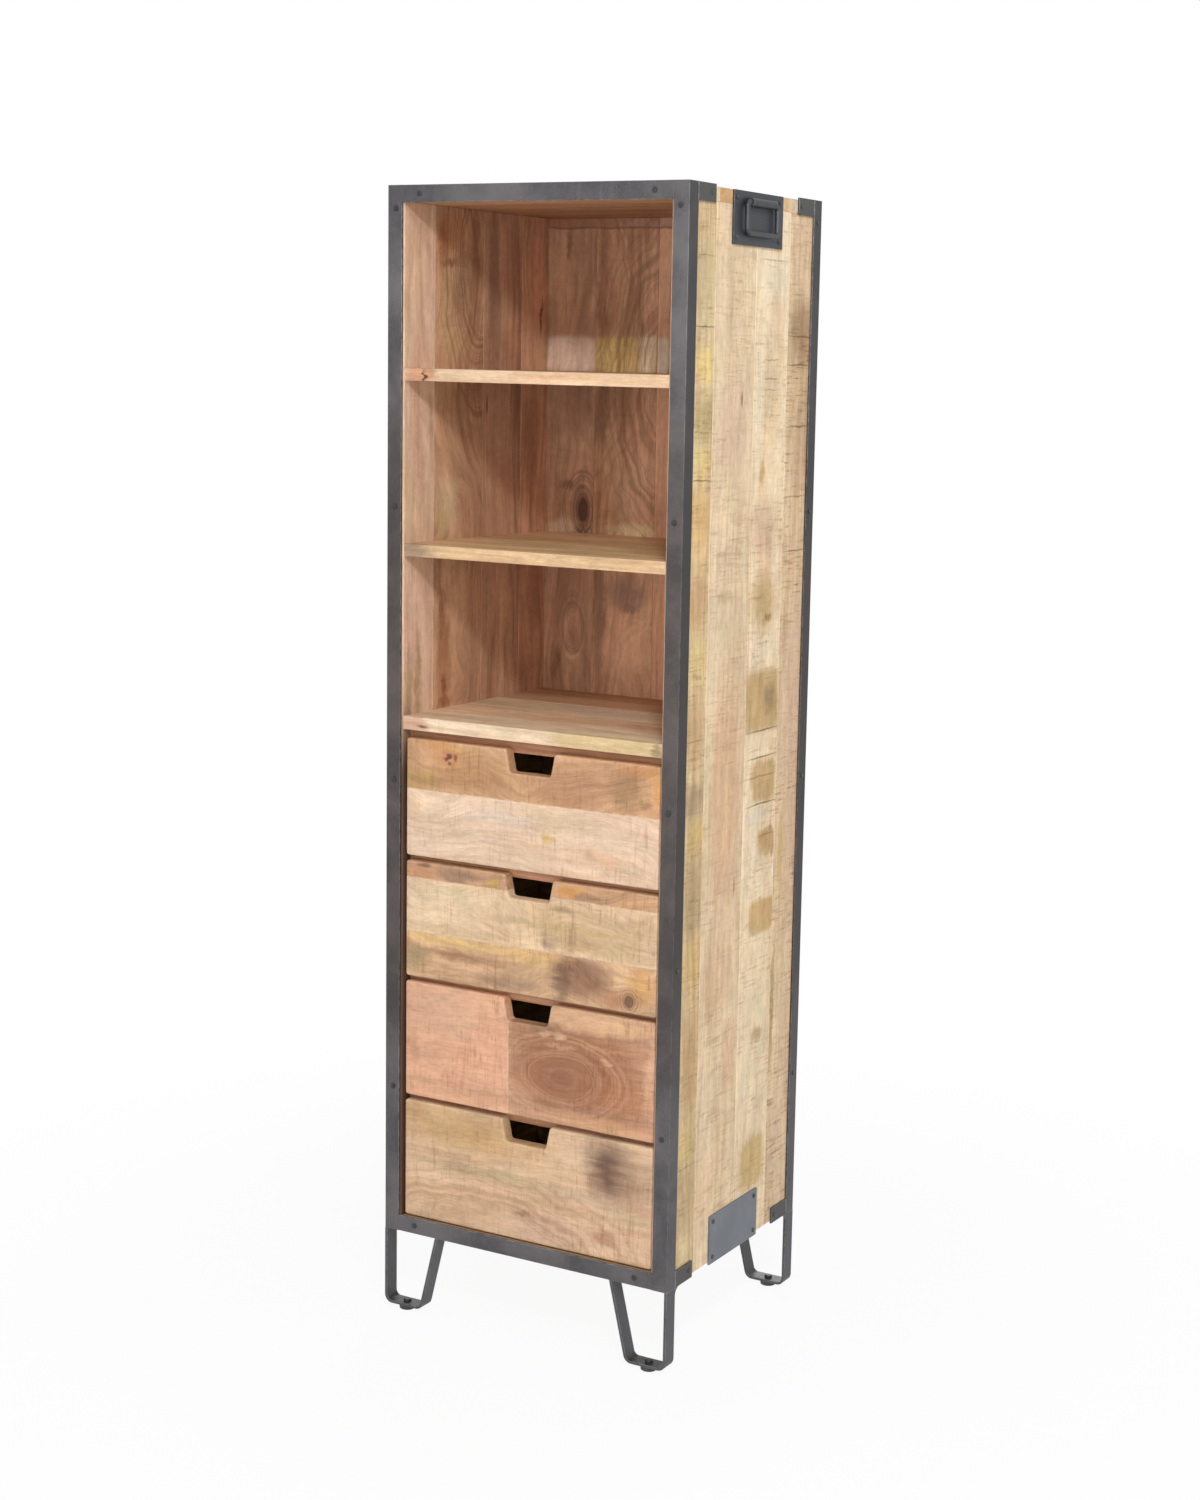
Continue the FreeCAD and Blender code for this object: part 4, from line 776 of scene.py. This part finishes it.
def drawer_front(number, floor, split, seams, tones, marks, knots=None, reach=0.0, **finish):
    """One front with its finger hold; the seams are heights, or places from the middle, in metres.

    The lowest front reaches further down, past its drawer's floor.
    """
    half, height, face, thick = 0.2185, 0.178, -0.1955, 0.019
    mouth, base, deep = 0.042, 0.035, 0.0345
    corner, rounding, seam_ease = 0.004, 0.003, 0.0004
    under, top = floor - reach, floor + height
    corners = [(-half, under), (half, under), (half, top), (mouth, top), (base, top - deep),
               (-base, top - deep), (-mouth, top), (-half, top)]
    direction = Vector((1, 0, 0)) if split == 0 else Vector((0, 0, 1))
    stops = [-1, *seams, 1]
    knots, marks = knots or {}, face_marks(1, face, 0.03, marks)
    for i, (start, end) in enumerate(zip(stops, stops[1:])):
        bm = bmesh.new()
        verts = [bm.verts.new((x, face, z)) for x, z in corners]
        bm.faces.new(verts)
        bmesh.ops.bevel(bm, geom=verts, offset=corner, affect="VERTICES", segments=4, profile=0.5,
                        material=-1)
        for stop, away in ((start, -1), (end, 1)):
            bmesh.ops.bisect_plane(bm, geom=bm.verts[:] + bm.edges[:] + bm.faces[:],
                                   plane_co=direction * stop, plane_no=direction * away, clear_outer=True)
        grown = bmesh.ops.extrude_face_region(bm, geom=bm.faces[:])["geom"]
        bmesh.ops.translate(bm, verts=[v for v in grown if isinstance(v, bmesh.types.BMVert)],
                            vec=(0, thick, 0))
        bmesh.ops.recalc_face_normals(bm, faces=bm.faces)
        bmesh.ops.bevel(bm, geom=front_edges(bm, face, split, seams)[0], offset=rounding, affect="EDGES",
                        segments=3, profile=0.5, material=-1)
        bmesh.ops.bevel(bm, geom=front_edges(bm, face, split, seams)[1], offset=seam_ease, affect="EDGES",
                        segments=1, profile=0.5, material=-1)
        name = f"drawer_{number}_front_board_{i + 1}"
        material = wood(f"{name}_wood", marks.get(i, ()), knots.get(i, ()), edge=0.75, along=(1, 0, 0),
                        across=(0, 0, 1), fibre=0.08, **finish)
        board_piece(bm, name, tones[i], 0, 1, 0, material, f"drawer_{number}",
                    f"drawer_{number}_front")


first_marks = {
    0: [(31, 771, 11, 8, "#dab674", 0.8), (122, 749, 30, 9, "#d5aa86", 0.7),
        (-150, 770, 50, 20, "#dcc09d", 0.5), (-205, 790, 14, 20, "#deb995", 0.6),
        (60, 800, 60, 12, "#d9c099", 0.5), (-60, 790, 60, 8, "#e1cebb", 0.6)],
    1: [(-190, 835, 34, 18, "#b8985e", 0.7), (-150, 884, 34, 9, "#cf9d62", 0.75),
        (-140, 868, 22, 13, "#c98a5c", 0.6), (-100, 850, 60, 20, "#ba8e61", 0.6),
        (213, 862, 6, 32, "#d29a58", 0.85), (185, 885, 30, 8, "#c78e5b", 0.7),
        (165, 850, 26, 30, "#8e6d4a", 0.6), (70, 850, 50, 30, "#af7f5f", 0.5),
        (-138, 871, 5, 5, "#723b34", 0.95), (-146, 868, 4, 3, "#7f463b", 0.8),
        (-130, 872, 3, 5, "#7f463b", 0.8), (-140, 862, 3, 2.5, "#723b34", 0.8),
        (195, 838, 9, 6, "#725534", 0.5)],
}
drawer_front(1, 0.716, 2, [0.818], [("#e1c6ac", "#cdac8e"), ("#cfa47c", "#a9805b")], first_marks,
             saw=0.40, ring=0.014, taper=0.05, swirl=0.10)

second_marks = {
    0: [(-90, 593, 140, 8, "#d8b37a", 0.85), (10, 588, 50, 12, "#dbb47c", 0.85),
        (-120, 574, 70, 8, "#986d49", 0.6), (95, 574, 50, 30, "#815943", 0.75),
        (60, 560, 12, 30, "#664d3b", 0.6), (196, 572, 22, 26, "#c8965b", 0.75),
        (150, 545, 16, 12, "#b5815b", 0.7), (-200, 562, 24, 18, "#968561", 0.7),
        (-40, 545, 60, 10, "#a3846a", 0.6)],
    1: [(35, 618, 14, 14, "#9e806e", 0.75), (75, 624, 34, 14, "#b99d77", 0.7),
        (80, 640, 90, 5, "#cfb078", 0.7), (105, 642, 100, 28, "#c6a67e", 0.55),
        (130, 618, 60, 12, "#c0a479", 0.6), (-20, 640, 50, 6, "#bea583", 0.5),
        (-150, 655, 70, 16, "#ddc8a6", 0.5), (60, 667, 16, 6, "#987f59", 0.5),
        (190, 660, 30, 8, "#c6a47f", 0.6)],
    2: [(-195, 690, 30, 9, "#ca936c", 0.8), (-125, 694, 36, 10, "#947661", 0.8),
        (-60, 690, 12, 9, "#c09f52", 0.8), (72, 696, 20, 8, "#cd9050", 0.85),
        (102, 690, 18, 6, "#8e6d52", 0.7), (-185, 704, 12, 3, "#7f4d3b", 0.7),
        (180, 694, 40, 12, "#c89d72", 0.6)],
}
drawer_front(2, 0.530, 2, [0.601, 0.683],
             [("#d8b28a", "#b08a68"), ("#e5caa7", "#c9a882"), ("#cfa27c", "#a27d60")], second_marks,
             {0: [((0.174, -0.1955, 0.548), (0.011, 0.03, 0.013), 0.016, "#6a4636")]},
             saw=0.50, ring=0.012, taper=0.06, swirl=0.10)

third_marks = {
    0: [(-150, 480, 60, 34, "#d8af91", 0.5), (-100, 370, 60, 20, "#d1a07f", 0.5),
        (-205, 420, 10, 30, "#ba8e6e", 0.5)],
    1: [(80, 430, 105, 64, "#986443", 0.85, 3.0, 0.35), (110, 505, 110, 13, "#daaf86", 0.85),
        (30, 487, 18, 12, "#9b7658", 0.7), (35, 479, 9, 5, "#d1a684", 0.8),
        (56, 478, 9, 6, "#d7af8c", 0.8), (60, 462, 26, 4, "#cd9e79", 0.7),
        (150, 470, 60, 3.5, "#c9916a", 0.7), (211, 440, 9, 70, "#daac88", 0.85),
        (120, 356, 90, 9, "#cf9a72", 0.6), (140, 452, 8, 5, "#d9ab81", 0.7),
        (-22, 440, 8, 70, "#af7f5f", 0.5), (170, 400, 40, 30, "#aa704a", 0.6)],
}
drawer_front(3, 0.344, 0, [-0.032], [("#deac8c", "#cc9b79"), ("#cba07e", "#a87e60")], third_marks,
             {1: [((0.063, -0.1955, 0.416), (0.0045, 0.03, 0.003), 0.004, "#633828"),
                  ((0.063, -0.1955, 0.416), (0.030, 0.03, 0.016), 0.030, "#946549")]}, saw=0.45, ring=0.010,
             arcs=[((0.063, -0.1955, 0.416), (0.130, 0.012, 0.075), 9, "#c9a083", 0.32, 0.15)])

fourth_marks = {
    0: [(-130, 300, 90, 34, "#c29d68", 0.7), (-200, 320, 24, 14, "#ab8159", 0.6),
        (-30, 300, 90, 30, "#c09865", 0.55), (-100, 195, 130, 26, "#cda884", 0.65),
        (60, 180, 120, 22, "#dfb99c", 0.75), (146, 290, 34, 42, "#6a4c3e", 0.95, 2.0, 0.7),
        (185, 285, 30, 40, "#b08f70", 0.5), (-60, 245, 130, 9, "#baa37d", 0.6),
        (90, 240, 80, 10, "#ccb092", 0.6), (170, 225, 40, 9, "#c9af8e", 0.6),
        (0, 196, 16, 4, "#8e5a43", 0.6), (140, 186, 22, 10, "#a57256", 0.6)],
}
drawer_front(4, 0.158, 2, [], [("#dfc0a0", "#c09c78")], fourth_marks, reach=0.005, saw=0.45, ring=0.013,
             taper=0.0, bow=0.9,
             arcs=[((-0.080, -0.1955, 0.120), (0.330, 0.012, 0.150), 12, "#a5835f", 0.45, 0.45)])


# ---- Drawer boxes
# The boxes behind the fronts: sides and back of 12 mm board, and a thin plywood bottom in a groove.
side_wood = wood("box_side_wood", grain="Y", tones=("#e2c294", "#c39d6c"), saw=0.25)
back_strip_wood = wood("box_back_wood", grain="X", tones=("#dfbe90", "#bd9766"), saw=0.25)
plywood = wood("plywood", grain="X", tones=("#ead2a6", "#d3b483"), saw=0.05, ring=0.03, fibre=0.1)
for number in (1, 2, 3, 4):
    dress(side_wood, f"drawer_{number}_left_side", f"drawer_{number}_right_side")
    dress(back_strip_wood, f"drawer_{number}_back")
    dress(plywood, f"drawer_{number}_bottom")


# ---- Plates and chest handles
# Flat blued steel plates screwed to both sides; the top ones carry a welded knuckle with a bail in it.
# One steel for all the plates: the lower plates are painted lighter, a painted reflection, and the handle
# plates and knuckles darker, a painted shade.
plate_steel = iron("plate_steel", "#686c73", "#787c84", wear_and_highlight=0.35, dust=0.25)
handle_plate_steel_painted_shade = iron("handle_plate_steel_painted_shade", "#303337", "#3d4044", wear_and_highlight=0.35, dust=0.3)
# The bail's edges are painted bright, partly as wear and partly as a painted highlight.
bail_steel = iron("bail_steel", "#3a3c40", "#515358", bare_metal_and_highlight="#c2c2c4", wear_and_highlight=0.8, dust=0.4, metallic=0.6)
dress(plate_steel, "left_lower_plate", "right_lower_plate")
dress(handle_plate_steel_painted_shade, *(f"{side}_handle_{part}" for side in ("left", "right")
                            for part in ("plate", "knuckle")))
dress(bail_steel, "left_handle_bail", "right_handle_bail")


# ---- Corner tabs, legs and glides
# Flats and bent straps of the same lacquered iron, welded to the rings, on round black plastic glides.
tab_iron = iron("tab_iron", "#3c3b3b", "#494847")
leg_iron = iron("leg_iron", "#404144", "#4d4d51", metallic=0.2)
dress(tab_iron, "left_corner_tabs", "right_corner_tabs")
tree = leg_iron.node_tree
# Painted shade: the legs' faces that look upward are painted darker, through the skin's grime-and-shade
# input.
upward = axes(tree, add(tree, "TexCoord").outputs["Normal"])["Z"]
tree.links.new(fade(tree, upward, 0.2, 0.8, 0.0, 0.75), skin_of(leg_iron).inputs["Grime_and_Shade"])
dress(leg_iron, *(f"{end}_{side}_leg" for end in ("front", "rear") for side in ("left", "right")))
glide_plastic = iron("glide_plastic", "#2b2b2d", "#333336", wear_and_highlight=0.0, dust=0.4, metallic=0.0)
dress(glide_plastic, "foot_glides")


# ---- Screws and bolts
# Small blackened round-head screws through the irons, tabs and plates, and a bolt through each foot.
screw_steel = iron("screw_steel", "#17171a", "#242427", wear_and_highlight=0.25, dust=0.15, metallic=0.1)
plate_screw_steel = iron("plate_screw_steel", "#333438", "#45464b", wear_and_highlight=0.35, dust=0.2)
dress(screw_steel, "frame_screws", "glide_bolts")
dress(plate_screw_steel, "side_screws")


# ---- Welds
# Lacquered with the frame: a small hollow fillet below each lower tab, where the leg meets it, and a low
# uneven bead up every joint between a tab and its upright.
fillet_face, bead_face, joint, tab_bottom = 0.2498, 0.2499, 0.1775, 0.127
radius, thickness, drop_apart = 0.013, 0.0026, 0.0025
bm = bmesh.new()
chance = random.Random("welds")
for side in (-1, 1):
    for end in (-1, 1):
        outline = [(end * joint, tab_bottom)]
        for step in range(9):
            angle = math.radians(90 * step / 8)
            outline.append((end * (joint - radius + radius * math.cos(angle)),
                            tab_bottom - radius + radius * math.sin(angle)))
        fillet = bm.faces.new([bm.verts.new((side * fillet_face, y, z)) for y, z in outline])
        grown = bmesh.ops.extrude_face_region(bm, geom=[fillet])["geom"]
        bmesh.ops.translate(bm, verts=[v for v in grown if isinstance(v, bmesh.types.BMVert)],
                            vec=(-side * thickness, 0, 0))
        for bottom in (0.1295, 1.6775):
            for step in range(9):
                spot = (side * bead_face, end * joint + chance.uniform(-0.0005, 0.0005),
                        bottom + drop_apart * step)
                drop = (0.0008, chance.uniform(0.0014, 0.0021), 0.0024, 1)
                bmesh.ops.create_uvsphere(bm, u_segments=12, v_segments=8, radius=1,
                                          matrix=Matrix.Translation(spot) @ Matrix.Diagonal(drop))
bmesh.ops.recalc_face_normals(bm, faces=bm.faces)
welds = piece(bm, "welds", iron("weld_iron", "#434244", "#555456", wear_and_highlight=0.9, dust=0.4))
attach(welds, "case")


# ---- Floor and light
# A plain pale floor under a bright even room, and seven soft area lamps round it: two small ones high in
# front to the right, and broad ones in front, at both sides and behind.
def looked_at(tree):
    """One where the camera, a mirror or glass looks, and zero where light falls."""
    path = add(tree, "LightPath").outputs
    mirrored = maths(tree, "MAXIMUM", path["Is Glossy Ray"], path["Is Transmission Ray"])
    return maths(tree, "MAXIMUM", path["Is Camera Ray"], mirrored)


world = bpy.data.worlds.new("studio")
bpy.context.scene.world = world
bpy.context.scene.view_settings.view_transform = "Standard"
world.use_nodes = True
room = world.node_tree
room.nodes.clear()
lit = add(room, "Background", {"Color": (0.96, 0.98, 1.0, 1), "Strength": 0.30})
backdrop = add(room, "Background", {"Color": (1, 1, 1, 1), "Strength": 1.0})
either = add(room, "MixShader", {0: looked_at(room), 1: lit.outputs[0], 2: backdrop.outputs[0]})
add(room, "OutputWorld", {"Surface": either.outputs[0]})

floor_paint, tree, shader = new_material("floor_paint")
shader.inputs["Base Color"].default_value = (0.86, 0.86, 0.86, 1)
shader.inputs["Roughness"].default_value = 0.9
glow = add(tree, "Emission", {"Color": (1, 1, 1, 1), "Strength": 1.0})
far_off = vector_maths(tree, "LENGTH", add(tree, "TexCoord").outputs["Object"])
seen = maths(tree, "MULTIPLY", looked_at(tree), fade(tree, far_off, 0.4, 1.6, 0.92, 1.0))
either = add(tree, "MixShader", {0: seen, 1: shader.outputs[0], 2: glow.outputs[0]})
tree.links.new(either.outputs[0], tree.nodes["Material Output"].inputs["Surface"])
bm = bmesh.new()
bmesh.ops.create_grid(bm, x_segments=1, y_segments=1, size=12)
piece(bm, "floor", floor_paint)

lamps = (("key_lamp", (1.8, -1.7, 3.45), 0.3, 22), ("second_lamp", (1.7, -2.5, 2.85), 0.35, 48),
         ("front_lamp", (2.4, -3.4, 1.3), 2.4, 38), ("middle_lamp", (-0.7, -4.0, 1.2), 2.0, 30),
         ("right_lamp", (4.0, -0.6, 1.5), 2.4, 17), ("left_lamp", (-4.0, -0.6, 1.5), 2.4, 22),
         ("rear_lamp", (-1.6, 4.2, 1.6), 2.4, 60))
aim = Vector((0, 0, 0.9))
for name, spot, size, power in lamps:
    lamp = placed(name, bpy.data.lights.new(name, "AREA"))
    lamp.data.size, lamp.data.energy = size, power
    turned = (Vector(spot) - aim).to_track_quat("Z", "Y").to_matrix().to_4x4()
    lamp.matrix_world = Matrix.Translation(spot) @ turned
